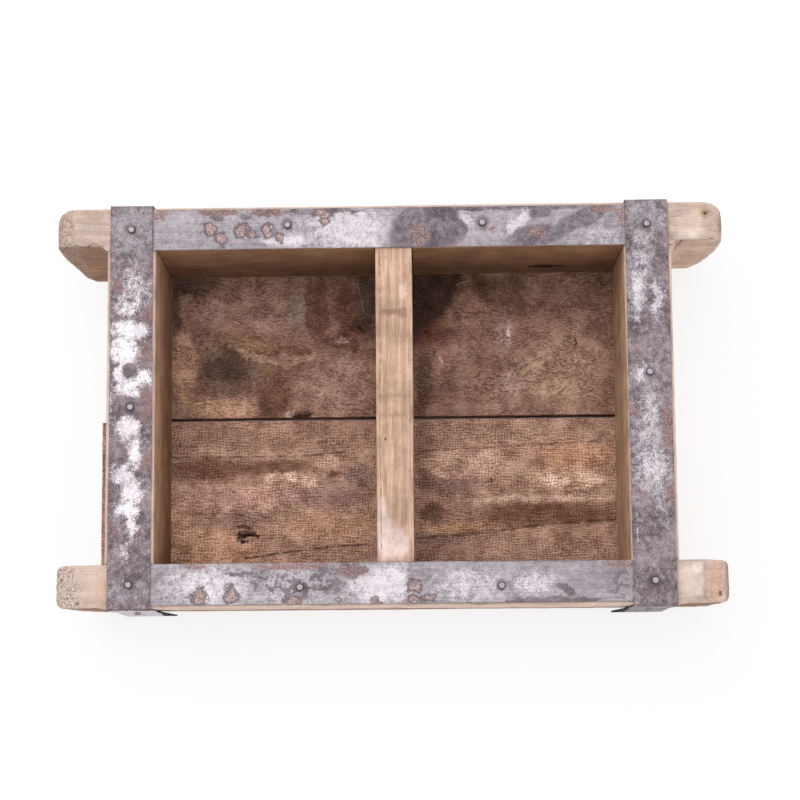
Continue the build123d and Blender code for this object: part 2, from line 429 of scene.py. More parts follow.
class Effects:
    """The effects that the finishes share, each a node group built once. Places are in millimetres."""

    def __init__(self) -> None:
        """Builds every group."""
        self.ragged = self.build_ragged()
        self.spot = self.build_spot()
        self.zone = self.build_zone()
        self.seam = self.build_seam()
        self.board_grain = self.build_board_grain()
        self.figure = self.build_figure()
        self.saw_marks = self.build_saw_marks()
        self.arris = self.build_arris()
        self.scale = self.build_scale()

    def build_ragged(self) -> bpy.types.NodeTree:
        """Shifts places at random by up to Reach, so that the edges of a shape turn ragged."""
        wiring, given, result = start_effect(
            "Ragged Place", {"Place": NOWHERE, "Reach": 2.0, "Fineness": 0.2}, ["Place"]
        )
        fine = wiring.node("ShaderNodeTexNoise", {
            "Vector": given["Place"], "Scale": given["Fineness"], "Detail": 3.0, "Roughness": 0.6,
        })
        spread = wiring.vector("SUBTRACT", fine.outputs["Color"], (0.5, 0.5, 0.5))
        double = wiring.times(given["Reach"], 2.0)
        moved = wiring.vector("ADD", given["Place"], wiring.scale(spread, double))
        wiring.feed(result["Place"], moved)
        return wiring.tree

    def build_spot(self) -> bpy.types.NodeTree:
        """Marks the inside of an ellipse. Distance is 1 on its edge."""
        wiring, given, result = start_effect(
            "Spot",
            {"Place": NOWHERE, "Centre": NOWHERE, "Size": (1.0, 1.0, 1.0), "Turn": 0.0, "Edge": 0.3},
            ["Inside", "Distance"],
        )
        from_centre = wiring.vector("SUBTRACT", given["Place"], given["Centre"])
        turned = wiring.node(
            "ShaderNodeVectorRotate", {"Vector": from_centre, "Angle": given["Turn"]},
            rotation_type="Z_AXIS",
        )
        in_sizes = wiring.vector("DIVIDE", turned.outputs[0], given["Size"])
        distance = wiring.vector("LENGTH", in_sizes)
        inner = wiring.number("SUBTRACT", 1.0, given["Edge"])
        outer = wiring.number("ADD", 1.0, given["Edge"])
        wiring.feed(result["Inside"], wiring.step(distance, inner, outer, 1.0, 0.0))
        wiring.feed(result["Distance"], distance)
        return wiring.tree

    def build_zone(self) -> bpy.types.NodeTree:
        """Marks the inside of a box with a soft edge."""
        wiring, given, result = start_effect(
            "Zone", {"Place": NOWHERE, "Low": NOWHERE, "High": NOWHERE, "Soft": 1.0}, ["Inside"]
        )
        above_low = wiring.vector("SUBTRACT", given["Place"], given["Low"])
        below_high = wiring.vector("SUBTRACT", given["High"], given["Place"])
        nearest = wiring.node("ShaderNodeSeparateXYZ", {0: wiring.vector("MINIMUM", above_low, below_high)})
        first, second, third = nearest.outputs
        smallest = wiring.number("MINIMUM", wiring.number("MINIMUM", first, second), third)
        start = wiring.times(given["Soft"], -1.0)
        wiring.feed(result["Inside"], wiring.step(smallest, start, 0.0))
        return wiring.tree

    def build_seam(self) -> bpy.types.NodeTree:
        """Marks a line between two places, such as a crack or a scratch."""
        wiring, given, result = start_effect(
            "Seam", {"Place": NOWHERE, "Start": NOWHERE, "End": NOWHERE, "Width": 1.0}, ["Inside"]
        )
        from_start = wiring.vector("SUBTRACT", given["Place"], given["Start"])
        run = wiring.vector("SUBTRACT", given["End"], given["Start"])
        along = wiring.number(
            "DIVIDE", wiring.vector("DOT_PRODUCT", from_start, run), wiring.vector("DOT_PRODUCT", run, run),
            clamp=True,
        )
        away = wiring.vector("SUBTRACT", from_start, wiring.scale(run, along))
        half = wiring.times(given["Width"], 0.5)
        full = wiring.times(given["Width"], 1.0)
        wiring.feed(result["Inside"], wiring.step(wiring.vector("LENGTH", away), half, full, 1.0, 0.0))
        return wiring.tree

    def build_board_grain(self) -> bpy.types.NodeTree:
        """The grain of a sawn board whose fibres run along X: year rings round a pith, fibres and flecks."""
        wiring, given, result = start_effect(
            "Board Grain",
            {"Place": NOWHERE, "Pith": NOWHERE, "Ring Width": 4.0, "Waviness": 6.0},
            ["Rings", "Fibre", "Flecks"],
        )
        place = given["Place"]
        wave = wiring.noise(wiring.vector("MULTIPLY", place, (0.006, 0.022, 0.022)), 1.0, 2.0)
        spread = wiring.vector("SUBTRACT", wave.outputs["Color"], (0.5, 0.5, 0.5))
        waved = wiring.vector("ADD", place, wiring.scale(spread, given["Waviness"]))
        from_pith = wiring.vector("MULTIPLY", wiring.vector("SUBTRACT", waved, given["Pith"]), (0.0, 1.0, 1.0))
        rings = wiring.number("DIVIDE", wiring.vector("LENGTH", from_pith), given["Ring Width"])
        swing = wiring.number("SINE", wiring.times(rings, math.tau))
        half = wiring.number("MULTIPLY_ADD", swing, 0.5, 0.5)
        wiring.feed(result["Rings"], wiring.number("POWER", half, 1.6))
        wiring.feed(result["Fibre"], wiring.grains(waved, (0.035, 1.1, 1.1), 4.0, 0.65))
        flecks = wiring.grains(place, (0.45, 1.8, 1.8), 2.0, 0.6)
        wiring.feed(result["Flecks"], wiring.step(flecks, 0.56, 0.7))
        return wiring.tree

    def build_figure(self) -> bpy.types.NodeTree:
        """The raised fibres of a scrubbed plank, which run along X and bend as a slow swell does."""
        wiring, given, result = start_effect(
            "Figure", {"Place": NOWHERE, "Swirl": 20.0}, ["Fibres", "Curls"]
        )
        place = given["Place"]
        swell = wiring.noise(wiring.vector("MULTIPLY", place, (0.012, 0.025, 0.01)), 1.0, 2.0, 0.5)
        spread = wiring.vector("SUBTRACT", swell.outputs["Color"], (0.5, 0.5, 0.5))
        bent = wiring.vector("ADD", place, wiring.scale(spread, given["Swirl"]))
        wiring.feed(result["Fibres"], self.evened(wiring, wiring.grains(bent, (0.2, 1.25, 1.25), 2.0, 0.6)))
        curl = wiring.noise(place, 0.16, 2.0, 0.6)
        twist = wiring.vector("SUBTRACT", curl.outputs["Color"], (0.5, 0.5, 0.5))
        curled = wiring.vector("ADD", bent, wiring.scale(twist, 9.0))
        wiring.feed(result["Curls"], self.evened(wiring, wiring.grains(curled, (0.5, 1.15, 1.15), 2.0, 0.6)))
        return wiring.tree

    def evened(self, wiring: Wiring, grains: Feed) -> Socket:
        """Grains spread evenly about 0, most of them within 1 of it."""
        return wiring.times(wiring.number("SUBTRACT", grains, 0.5), 8.0)

    def build_saw_marks(self) -> bpy.types.NodeTree:
        """The rough weave that a saw leaves across the grain, in patches, about 0."""
        wiring, given, result = start_effect(
            "Saw Marks", {"Place": NOWHERE, "Along Gap": 1.9, "Across Gap": 2.3}, ["Weave"]
        )
        place = given["Place"]
        slow = wiring.noise(wiring.vector("MULTIPLY", place, (0.03, 0.06, 0.1)), 1.0, 2.0, 0.5)
        quick = wiring.noise(wiring.vector("MULTIPLY", place, (0.3, 0.4, 0.1)), 1.0, 1.0, 0.5)
        stray = wiring.vector("ADD", wiring.scale(slow.outputs["Color"], 9.0), wiring.scale(quick.outputs["Color"], 2.4))
        parts = wiring.node("ShaderNodeSeparateXYZ", {0: wiring.vector("ADD", place, stray)}).outputs
        lines = []
        for axis, gap in (("Y", "Along Gap"), ("X", "Across Gap")):
            turns = wiring.times(wiring.number("DIVIDE", parts[axis], given[gap]), math.tau)
            lines.append(wiring.number("SINE", turns))
        rows = wiring.times(lines[0], 0.9)
        weave = wiring.number("MULTIPLY_ADD", lines[1], 0.6, rows)
        patches = wiring.step(wiring.grains(place, (0.035, 0.07, 0.05), 3.0, 0.6), 0.34, 0.56, 0.25, 1.1)
        wiring.feed(result["Weave"], wiring.times(weave, patches))
        return wiring.tree

    def build_arris(self) -> bpy.types.NodeTree:
        """Marks the rubbed arrises of a square board that lies between two corners."""
        wiring, given, result = start_effect(
            "Rubbed Arris", {"Place": NOWHERE, "Low": NOWHERE, "High": NOWHERE, "Width": 2.0}, ["Rubbed"]
        )
        place = given["Place"]
        above_low = wiring.vector("SUBTRACT", place, given["Low"])
        below_high = wiring.vector("SUBTRACT", given["High"], place)
        nearest = wiring.node("ShaderNodeSeparateXYZ", {0: wiring.vector("MINIMUM", above_low, below_high)})
        first, second, third = nearest.outputs
        smaller = wiring.number("MINIMUM", first, second)
        larger = wiring.number("MAXIMUM", first, second)
        middle = wiring.number("MAXIMUM", smaller, wiring.number("MINIMUM", larger, third))
        uneven = wiring.grains(place, (0.08, 0.08, 0.08), 3.0, 0.6)
        reach = wiring.times(given["Width"], wiring.step(uneven, 0.3, 0.7, 0.4, 1.6))
        wiring.feed(result["Rubbed"], wiring.step(middle, 0.0, reach, 1.0, 0.0))
        return wiring.tree

    def build_scale(self) -> bpy.types.NodeTree:
        """The textures of old hoop iron that runs along X, all about 0 but the pits."""
        wiring, given, result = start_effect(
            "Iron Scale", {"Place": NOWHERE}, ["Speckle", "Mottle", "Cloud", "Brushed", "Pits"]
        )
        place = given["Place"]
        textures = {
            "Speckle": wiring.noise(place, 1.15, 2.0, 0.6).outputs[0],
            "Mottle": wiring.noise(place, 0.24, 3.0, 0.6).outputs[0],
            "Cloud": wiring.noise(place, 0.06, 3.0, 0.55).outputs[0],
            "Brushed": wiring.grains(place, (0.03, 1.0, 1.0), 3.0, 0.6),
        }
        for name, texture in textures.items():
            wiring.feed(result[name], self.evened(wiring, texture))
        wiring.feed(result["Pits"], wiring.step(wiring.noise(place, 0.75, 1.5, 0.5).outputs[0], 0.62, 0.68))
        return wiring.tree


# Spots, stains, patches of painted shade and light, and cracks, placed in millimetres on the mould

class Area(Protocol):
    """A part of the surface that a finish can mark."""

    def inside(self, wiring: Wiring, effects: Effects, place: Feed) -> Socket:
        """How far the surface lies inside, from 0 to 1, at a place in millimetres."""


@dataclass(frozen=True)
class Spot:
    """An ellipse seen from above, turned in degrees. A weak spot only shows in grains."""

    x: float
    y: float
    half_x: float
    half_y: float
    turn: float = 0.0
    strength: float = 1.0
    edge: float = 0.35

    def wire(self, wiring: Wiring, effects: Effects, place: Feed) -> bpy.types.Node:
        """Places the spot in a material, as a node with the outputs Inside and Distance."""
        return wiring.effect(effects.spot, {
            "Place": place, "Centre": (self.x, self.y, 0.0), "Size": (self.half_x, self.half_y, 1000.0),
            "Turn": -math.radians(self.turn), "Edge": self.edge,
        })

    def inside(self, wiring: Wiring, effects: Effects, place: Feed) -> Socket:
        """How far the surface lies inside the spot."""
        within = self.wire(wiring, effects, place).outputs["Inside"]
        return wiring.times(within, self.strength)


@dataclass(frozen=True)
class Veil(Spot):
    """A spot that thins out slowly from its middle."""

    edge: float = 0.8


@dataclass(frozen=True)
class Zone:
    """A box-shaped part of the mould with a soft edge."""

    low: tuple[float, float, float]
    high: tuple[float, float, float]
    soft: float = 2.0

    def inside(self, wiring: Wiring, effects: Effects, place: Feed) -> Socket:
        """How far the surface lies inside the box."""
        feeds = {"Place": place, "Low": self.low, "High": self.high, "Soft": self.soft}
        return wiring.effect(effects.zone, feeds).outputs["Inside"]


@dataclass(frozen=True)
class Stain:
    """An area of another colour, used both for staining and for painted shade and light."""

    tone: Colour
    strength: float
    area: Area


@dataclass(frozen=True)
class Crack:
    """A dark or pale line through some places seen from above."""

    tone: Colour
    strength: float
    width: float
    points: tuple[tuple[float, float], ...]


def any_of(wiring: Wiring, effects: Effects, place: Feed, areas: Iterable[Area]) -> Feed:
    """The inside of all of some areas together."""
    inside: Feed = 0.0
    for area in areas:
        inside = wiring.number("MAXIMUM", inside, area.inside(wiring, effects, place))
    return inside


def stained(
    wiring: Wiring, effects: Effects, place: Feed, colour: Feed, stains: Iterable[Stain]
) -> Feed:
    """A colour with patches of staining and of painted shade and light laid over it in order."""
    for stain in stains:
        inside = stain.area.inside(wiring, effects, place)
        colour = wiring.blend(wiring.times(inside, stain.strength), colour, stain.tone)
    return colour


def cracked(
    wiring: Wiring, effects: Effects, place: Feed, colour: Feed, cracks: Iterable[Crack]
) -> Feed:
    """A colour with cracks drawn over it in order."""
    flat = wiring.vector("MULTIPLY", place, (1.0, 1.0, 0.0))
    broken = wiring.step(wiring.noise(flat, 0.14, 2.0).outputs[0], 0.4, 0.56, 0.25, 1.0)
    for crack in cracks:
        inside: Feed = 0.0
        for start, end in zip(crack.points, crack.points[1:]):
            line = wiring.effect(effects.seam, {
                "Place": flat, "Start": (*start, 0.0), "End": (*end, 0.0), "Width": crack.width,
            })
            inside = wiring.number("MAXIMUM", inside, line.outputs["Inside"])
        amount = wiring.times(wiring.times(inside, broken), crack.strength)
        colour = wiring.blend(amount, colour, crack.tone)
    return colour


@dataclass
class Finish:
    """A material under way: its shader, its wiring and the place on the surface in millimetres."""

    name: str
    effects: Effects

    def __post_init__(self) -> None:
        """Starts the material."""
        self.material = bpy.data.materials.new(self.name)
        self.material.use_nodes = True
        tree = self.material.node_tree
        self.shader = tree.nodes["Principled BSDF"]
        self.wiring = Wiring(tree)
        coordinates = tree.nodes.new("ShaderNodeTexCoord")
        self.place = self.wiring.scale(coordinates.outputs["Object"], 1 / MM)

    def along_grain(self, grain: Grain) -> Feed:
        """The place with X along the grain."""
        if grain is Grain.ALONG:
            return self.place
        parts = self.wiring.node("ShaderNodeSeparateXYZ", {0: self.place}).outputs
        swapped = {0: parts["Y"], 1: parts["X"], 2: parts["Z"]}
        return self.wiring.node("ShaderNodeCombineXYZ", swapped).outputs[0]

    def ragged(self, reach: float, fineness: float, place: Optional[Feed] = None) -> Socket:
        """The place, shifted at random by up to a reach."""
        feeds = {"Place": place or self.place, "Reach": reach, "Fineness": fineness}
        return self.wiring.effect(self.effects.ragged, feeds).outputs["Place"]

    def facing_up(self) -> Socket:
        """How far the surface faces up, 1 on a top."""
        normal = self.wiring.tree.nodes.new("ShaderNodeNewGeometry").outputs["Normal"]
        upright = self.wiring.node("ShaderNodeSeparateXYZ", {0: normal}).outputs["Z"]
        return self.wiring.step(upright, 0.35, 0.85)

    def raise_surface(self, height: Feed, distance: float, strength: float = 1.0) -> None:
        """Gives the surface fine relief.

        Args:
            height: the relief, from 0 to 1.
            distance: its depth in millimetres.
            strength: how much of it shows.
        """
        feeds = {"Height": height, "Distance": distance * MM, "Strength": strength}
        self.set_surface(Normal=self.wiring.node("ShaderNodeBump", feeds).outputs[0])

    def set_surface(self, **inputs: Feed) -> None:
        """Feeds the shader's sockets, with the spaces in their names written as underscores."""
        for name, value in inputs.items():
            self.wiring.feed(self.shader.inputs[name.replace("_", " ")], value)


@dataclass(frozen=True)
class BoardFinish:
    """Old softwood of the frame: pale where it is rubbed, browner on its sides, whose marks also paint shade and
    light onto the inner faces.
    """

    name: str
    low: Vector
    high: Vector
    grain: Grain
    pith: tuple[float, float, float]
    top_pale: Colour = shade(226, 203, 191)
    top_deep: Colour = shade(196, 168, 152)
    side_pale: Colour = shade(186, 148, 120)
    side_deep: Colour = shade(140, 104, 78)
    arris_tone: Colour = shade(232, 200, 180)
    arris_width: float = 2.4
    ring_share: float = 0.3
    nose_length: float = 15.0
    nose_dark: Colour = shade(112, 90, 74)
    nose_pale: Colour = shade(234, 214, 202)
    torn: tuple[float, float] = (0.8, 0.8)
    top_stains: tuple[Stain, ...] = ()
    side_stains: tuple[Stain, ...] = ()
    cracks: tuple[Crack, ...] = ()

    def build(self, effects: Effects) -> bpy.types.Material:
        """Wires the material from the shared effects."""
        finish = Finish(self.name, effects)
        wiring = finish.wiring
        ragged = finish.ragged(1.6, 0.3)
        grain = wiring.effect(effects.board_grain, {
            "Place": finish.along_grain(self.grain), "Pith": self.pith, "Ring Width": 3.2, "Waviness": 9.0,
        }).outputs
        line = wiring.slide(self.ring_share, grain["Fibre"], grain["Rings"])
        line = wiring.step(line, 0.25, 0.72)
        top = wiring.blend(line, self.top_deep, self.top_pale)
        top = stained(wiring, effects, ragged, top, self.top_stains)
        side = wiring.blend(line, self.side_deep, self.side_pale)
        side = stained(wiring, effects, ragged, side, self.side_stains)
        side = wiring.scale(side, wiring.step(grain["Fibre"], 0.3, 0.7, 0.8, 1.2))
        colour = wiring.blend(finish.facing_up(), side, top)
        cloud = wiring.noise(finish.place, 0.05, 4.0, 0.6).outputs[0]
        colour = wiring.scale(colour, wiring.step(cloud, 0.3, 0.7, 0.76, 1.14))
        colour = self.roughen_noses(finish, ragged, colour)
        rubbed = wiring.effect(effects.arris, {
            "Place": finish.place, "Low": self.low, "High": self.high, "Width": self.arris_width,
        }).outputs["Rubbed"]
        colour = wiring.blend(wiring.times(rubbed, 0.75), colour, self.arris_tone)
        fleck = wiring.times(grain["Flecks"], 0.65)
        colour = wiring.blend(fleck, colour, wiring.scale(colour, 0.55))
        colour = cracked(wiring, effects, finish.ragged(0.7, 0.4), colour, self.cracks)
        finish.set_surface(
            Base_Color=colour, Roughness=wiring.slide(line, 0.82, 0.7), Specular_IOR_Level=0.25
        )
        finish.raise_surface(grain["Fibre"], 0.4, 0.8)
        return finish.material

    def roughen_noses(self, finish: Finish, place: Feed, colour: Feed) -> Feed:
        """Breaks a colour up into the torn end grain of a rail's two noses; other boards have none."""
        if self.grain is Grain.ACROSS:
            return colour
        wiring = finish.wiring
        low, high = self.low + Vector((-20, 2, -20)), self.high + Vector((20, -2, 20))
        torn_place = finish.ragged(9.0, 0.13, place)
        left = Zone(tuple(low), (self.low.x + self.nose_length, *high[1:]), 6.0)
        right = Zone((self.high.x - self.nose_length, *low[1:]), tuple(high), 6.0)
        coarse = wiring.noise(finish.place, 0.55, 4.0, 0.8).outputs[0]
        fine = wiring.noise(finish.place, 1.4, 2.0, 0.6).outputs[0]
        grains = wiring.number("MULTIPLY_ADD", fine, 0.5, wiring.times(coarse, 0.5))
        tone = wiring.blend(wiring.step(grains, 0.42, 0.58), self.nose_dark, self.nose_pale)
        patchy = wiring.step(wiring.noise(finish.place, 0.16, 2.0).outputs[0], 0.35, 0.55, 0.5, 1.0)
        for nose, share in zip((left, right), self.torn):
            inside = wiring.times(nose.inside(wiring, finish.effects, torn_place), share)
            colour = wiring.blend(wiring.times(inside, patchy), colour, tone)
        return colour


@dataclass(frozen=True)
class PlankFinish:
    """Scrubbed and sawn floor planks, discoloured by wet clay, with marks that can also paint shadow along the walls
    of the cells, and relief painted in as light and shade.
    """

    name: str
    ground: Colour
    side: Colour
    fibre: float
    curl: float
    saw: float
    grit: float
    swirl: float
    stains: tuple[Stain, ...] = ()
    cracks: tuple[Crack, ...] = ()
    cloud: float = 0.8
    span: tuple[float, float] = (-2.3, 3.0)
    hollow_light: Colour = (0.5, 0.39, 0.34, 1.0)
    ridge_light: Colour = (2.0, 2.18, 2.32, 1.0)

    def build(self, effects: Effects) -> bpy.types.Material:
        """Wires the material from the shared effects."""
        finish = Finish(self.name, effects)
        wiring = finish.wiring
        ragged = finish.ragged(6.0, 0.08)
        finely = finish.ragged(2.6, 0.45, ragged)
        colour = stained(wiring, effects, finely, self.ground, self.stains)
        colour = wiring.blend(finish.facing_up(), self.side, colour)
        figure = wiring.effect(effects.figure, {"Place": finish.place, "Swirl": self.swirl}).outputs
        marks = wiring.effect(effects.saw_marks, {"Place": finish.place}).outputs
        grit = effects.evened(wiring, wiring.noise(finish.place, 1.2, 2.0, 0.7).outputs[0])
        cloud = effects.evened(wiring, wiring.noise(finish.place, 0.07, 3.0, 0.6).outputs[0])
        relief = wiring.times(grit, self.grit)
        for texture, share in ((figure["Fibres"], self.fibre), (figure["Curls"], self.curl), (marks["Weave"], self.saw)):
            relief = wiring.number("MULTIPLY_ADD", texture, share, relief)
        shading = wiring.number("MULTIPLY_ADD", cloud, self.cloud, relief)
        lit = wiring.blend(wiring.step(shading, *self.span), self.hollow_light, self.ridge_light)
        colour = wiring.vector("MULTIPLY", colour, lit)
        colour = cracked(wiring, effects, finish.ragged(1.0, 0.3), colour, self.cracks)
        finish.set_surface(Base_Color=colour, Roughness=0.78, Specular_IOR_Level=0.25)
        finish.raise_surface(relief, 0.12, 0.7)
        return finish.material


@dataclass(frozen=True)
class IronFinish:
    """Old hoop iron: dark scale, bare steel, pale bloom, spots of rust, painted shade round the nails and in the
    gaps behind the lug ends, and painted sheen on an edge and on the lug faces.
    """

    name: str
    low: Vector
    high: Vector
    grain: Grain
    steel: tuple[Area, ...] = ()
    bloom: tuple[Area, ...] = ()
    scale: tuple[Area, ...] = ()
    red_scale: tuple[Area, ...] = ()
    rust: tuple[Spot, ...] = ()
    black: tuple[Area, ...] = ()
    nails: tuple[tuple[float, float], ...] = ()
    steel_ground: float = 0.0
    steel_glow: float = 1.0
    bloom_glow: float = 1.0
    brushed: float = 0.2
    evenness: float = 1.0
    scale_break: tuple[float, float, float, float] = (0.16, 0.14, 0.25, 0.8)
    scale_dark: Colour = shade(92, 79, 85)
    scale_pale: Colour = shade(164, 149, 153)
    steel_dark: Colour = shade(98, 93, 98)
    steel_pale: Colour = shade(166, 159, 164)
    bloom_deep: Colour = shade(182, 174, 180)
    bloom_tone: Colour = shade(222, 216, 221)
    rust_deep: Colour = shade(122, 94, 92)
    rust_tone: Colour = shade(206, 182, 178)
    rust_rim: Colour = shade(94, 78, 86)
    red_deep: Colour = shade(102, 76, 80)
    red_tone: Colour = shade(170, 138, 134)
    ring_radius: float = 4.4

    def build(self, effects: Effects) -> bpy.types.Material:
        """Wires the material from the shared effects."""
        finish = Finish(self.name, effects)
        wiring = finish.wiring
        iron = wiring.effect(effects.scale, {"Place": finish.along_grain(self.grain)}).outputs
        ragged = finish.ragged(4.0, 0.12)
        finely = finish.ragged(1.6, 0.5, ragged)

        def tone(texture: Feed, wide: float, dark: Colour, pale: Colour) -> Socket:
            """A colour that goes from dark to pale as a texture rises."""
            return wiring.blend(wiring.step(texture, -wide, wide), dark, pale)

        def breaking(inside: Feed, by_grit: float, by_mottle: float, start: float, end: float) -> Feed:
            """The inside of a shape that thins out into grains towards its edge."""
            loose = wiring.number("MULTIPLY_ADD", iron["Speckle"], by_grit, inside)
            loose = wiring.number("MULTIPLY_ADD", iron["Mottle"], by_mottle, loose)
            return wiring.step(loose, start, end)

        patchy = wiring.number("MULTIPLY_ADD", iron["Mottle"], 0.5, wiring.times(iron["Cloud"], 0.8))
        dusty = wiring.number("MULTIPLY_ADD", iron["Speckle"], 0.8, patchy)
        scale = tone(dusty, 2.2, self.scale_dark, self.scale_pale)
        streaked = wiring.number("MULTIPLY_ADD", iron["Brushed"], self.brushed, patchy)
        streaked = wiring.number("MULTIPLY_ADD", iron["Speckle"], 1.0 - 0.7 * self.brushed, streaked)
        wide = 2.4 * self.evenness
        steel = wiring.scale(tone(streaked, wide, self.steel_dark, self.steel_pale), self.steel_glow)
        bloom = wiring.scale(tone(streaked, wide, self.bloom_deep, self.bloom_tone), self.bloom_glow)

        # The steel and bloom areas also take painted sheen: a pale streak on the left strap's edge and the front
        # faces of the lugs.
        is_steel = wiring.number("MAXIMUM", any_of(wiring, effects, ragged, self.steel), self.steel_ground)
        is_steel = breaking(is_steel, 0.12, 0.16, 0.2, 0.75)
        is_bloom = breaking(any_of(wiring, effects, finely, self.bloom), 0.17, 0.12, 0.14, 0.95)
        is_scale = breaking(any_of(wiring, effects, finely, self.scale), *self.scale_break)
        colour = wiring.blend(is_steel, scale, steel)
        colour = wiring.blend(is_bloom, colour, bloom)
        colour = wiring.blend(is_scale, colour, scale)
        bare = wiring.number("MAXIMUM", is_steel, is_bloom)
        bare = wiring.times(bare, wiring.number("SUBTRACT", 1.0, is_scale))
        colour = wiring.blend(wiring.times(iron["Pits"], 0.5), colour, self.scale_dark)

        red = tone(iron["Speckle"], 1.4, self.red_deep, self.red_tone)
        reddened = breaking(any_of(wiring, effects, finely, self.red_scale), 0.2, 0.1, 0.2, 0.8)
        colour = wiring.blend(wiring.times(reddened, 0.85), colour, red)
        rusted: Feed = 0.0
        crusted: Feed = 0.0
        for spot in self.rust:
            away = spot.wire(wiring, effects, finely).outputs["Distance"]
            away = wiring.number("MULTIPLY_ADD", iron["Speckle"], 0.1, away)
            away = wiring.number("MULTIPLY_ADD", iron["Mottle"], 0.16, away)
            rusted = wiring.number("MAXIMUM", rusted, wiring.step(away, 0.95, 1.3, 1.0, 0.0))
            crusted = wiring.number("MAXIMUM", crusted, wiring.step(away, 0.6, 0.95, 1.0, 0.0))
        colour = wiring.blend(wiring.times(rusted, 0.75), colour, self.rust_rim)
        colour = wiring.blend(crusted, colour, tone(iron["Speckle"], 1.3, self.rust_deep, self.rust_tone))
        # Painted shade: a dark ring round each nail head stands in for the shaded gap round it.
        for x, y in self.nails:
            ring = Spot(x, y, self.ring_radius, self.ring_radius).inside(wiring, effects, finely)
            colour = wiring.blend(wiring.times(ring, 0.6), colour, self.rust_rim)
        edge = wiring.effect(effects.arris, {
            "Place": finish.place, "Low": self.low, "High": self.high, "Width": 1.1,
        }).outputs["Rubbed"]
        colour = wiring.blend(wiring.times(edge, 0.4), colour, self.scale_dark)
        # Painted shade: the gaps between the lug ends and the front rail are painted near black.
        hidden = any_of(wiring, effects, finely, self.black)
        colour = wiring.blend(hidden, colour, shade(24, 18, 18))

        clean = wiring.times(bare, wiring.number("SUBTRACT", 1.0, rusted))
        clean = wiring.times(clean, wiring.number("SUBTRACT", 1.0, hidden))
        relief = wiring.number("MULTIPLY_ADD", crusted, 8.0, iron["Speckle"])
        finish.set_surface(
            Base_Color=colour, Metallic=wiring.slide(clean, 0.1, 0.35),
            Roughness=wiring.slide(clean, 0.75, 0.52), Specular_IOR_Level=0.25,
        )
        finish.raise_surface(relief, 0.02, 0.7)
        return finish.material


@dataclass(frozen=True)
class NailFinish:
    """Hammered nails: bare and rubbed on the crown, dark elsewhere."""

    name: str
    bare: Colour = shade(164, 158, 163)
    dark: Colour = shade(78, 71, 76)

    def build(self, effects: Effects) -> bpy.types.Material:
        """Wires the material from the shared effects."""
        finish = Finish(self.name, effects)
        wiring = finish.wiring
        iron = wiring.effect(effects.scale, {"Place": finish.place}).outputs
        normal = wiring.tree.nodes.new("ShaderNodeNewGeometry").outputs["Normal"]
        upright = wiring.node("ShaderNodeSeparateXYZ", {0: normal}).outputs["Z"]
        worn = wiring.step(upright, 0.75, 0.97)
        worn = wiring.times(worn, wiring.step(iron["Speckle"], -1.6, 0.6, 0.5, 1.0))
        colour = wiring.blend(worn, self.dark, self.bare)
        finish.set_surface(
            Base_Color=colour, Metallic=wiring.slide(worn, 0.2, 0.45),
            Roughness=wiring.slide(worn, 0.65, 0.42), Specular_IOR_Level=0.3,
        )
        finish.raise_surface(iron["Speckle"], 0.02, 0.6)
        return finish.material


# The sub-assemblies

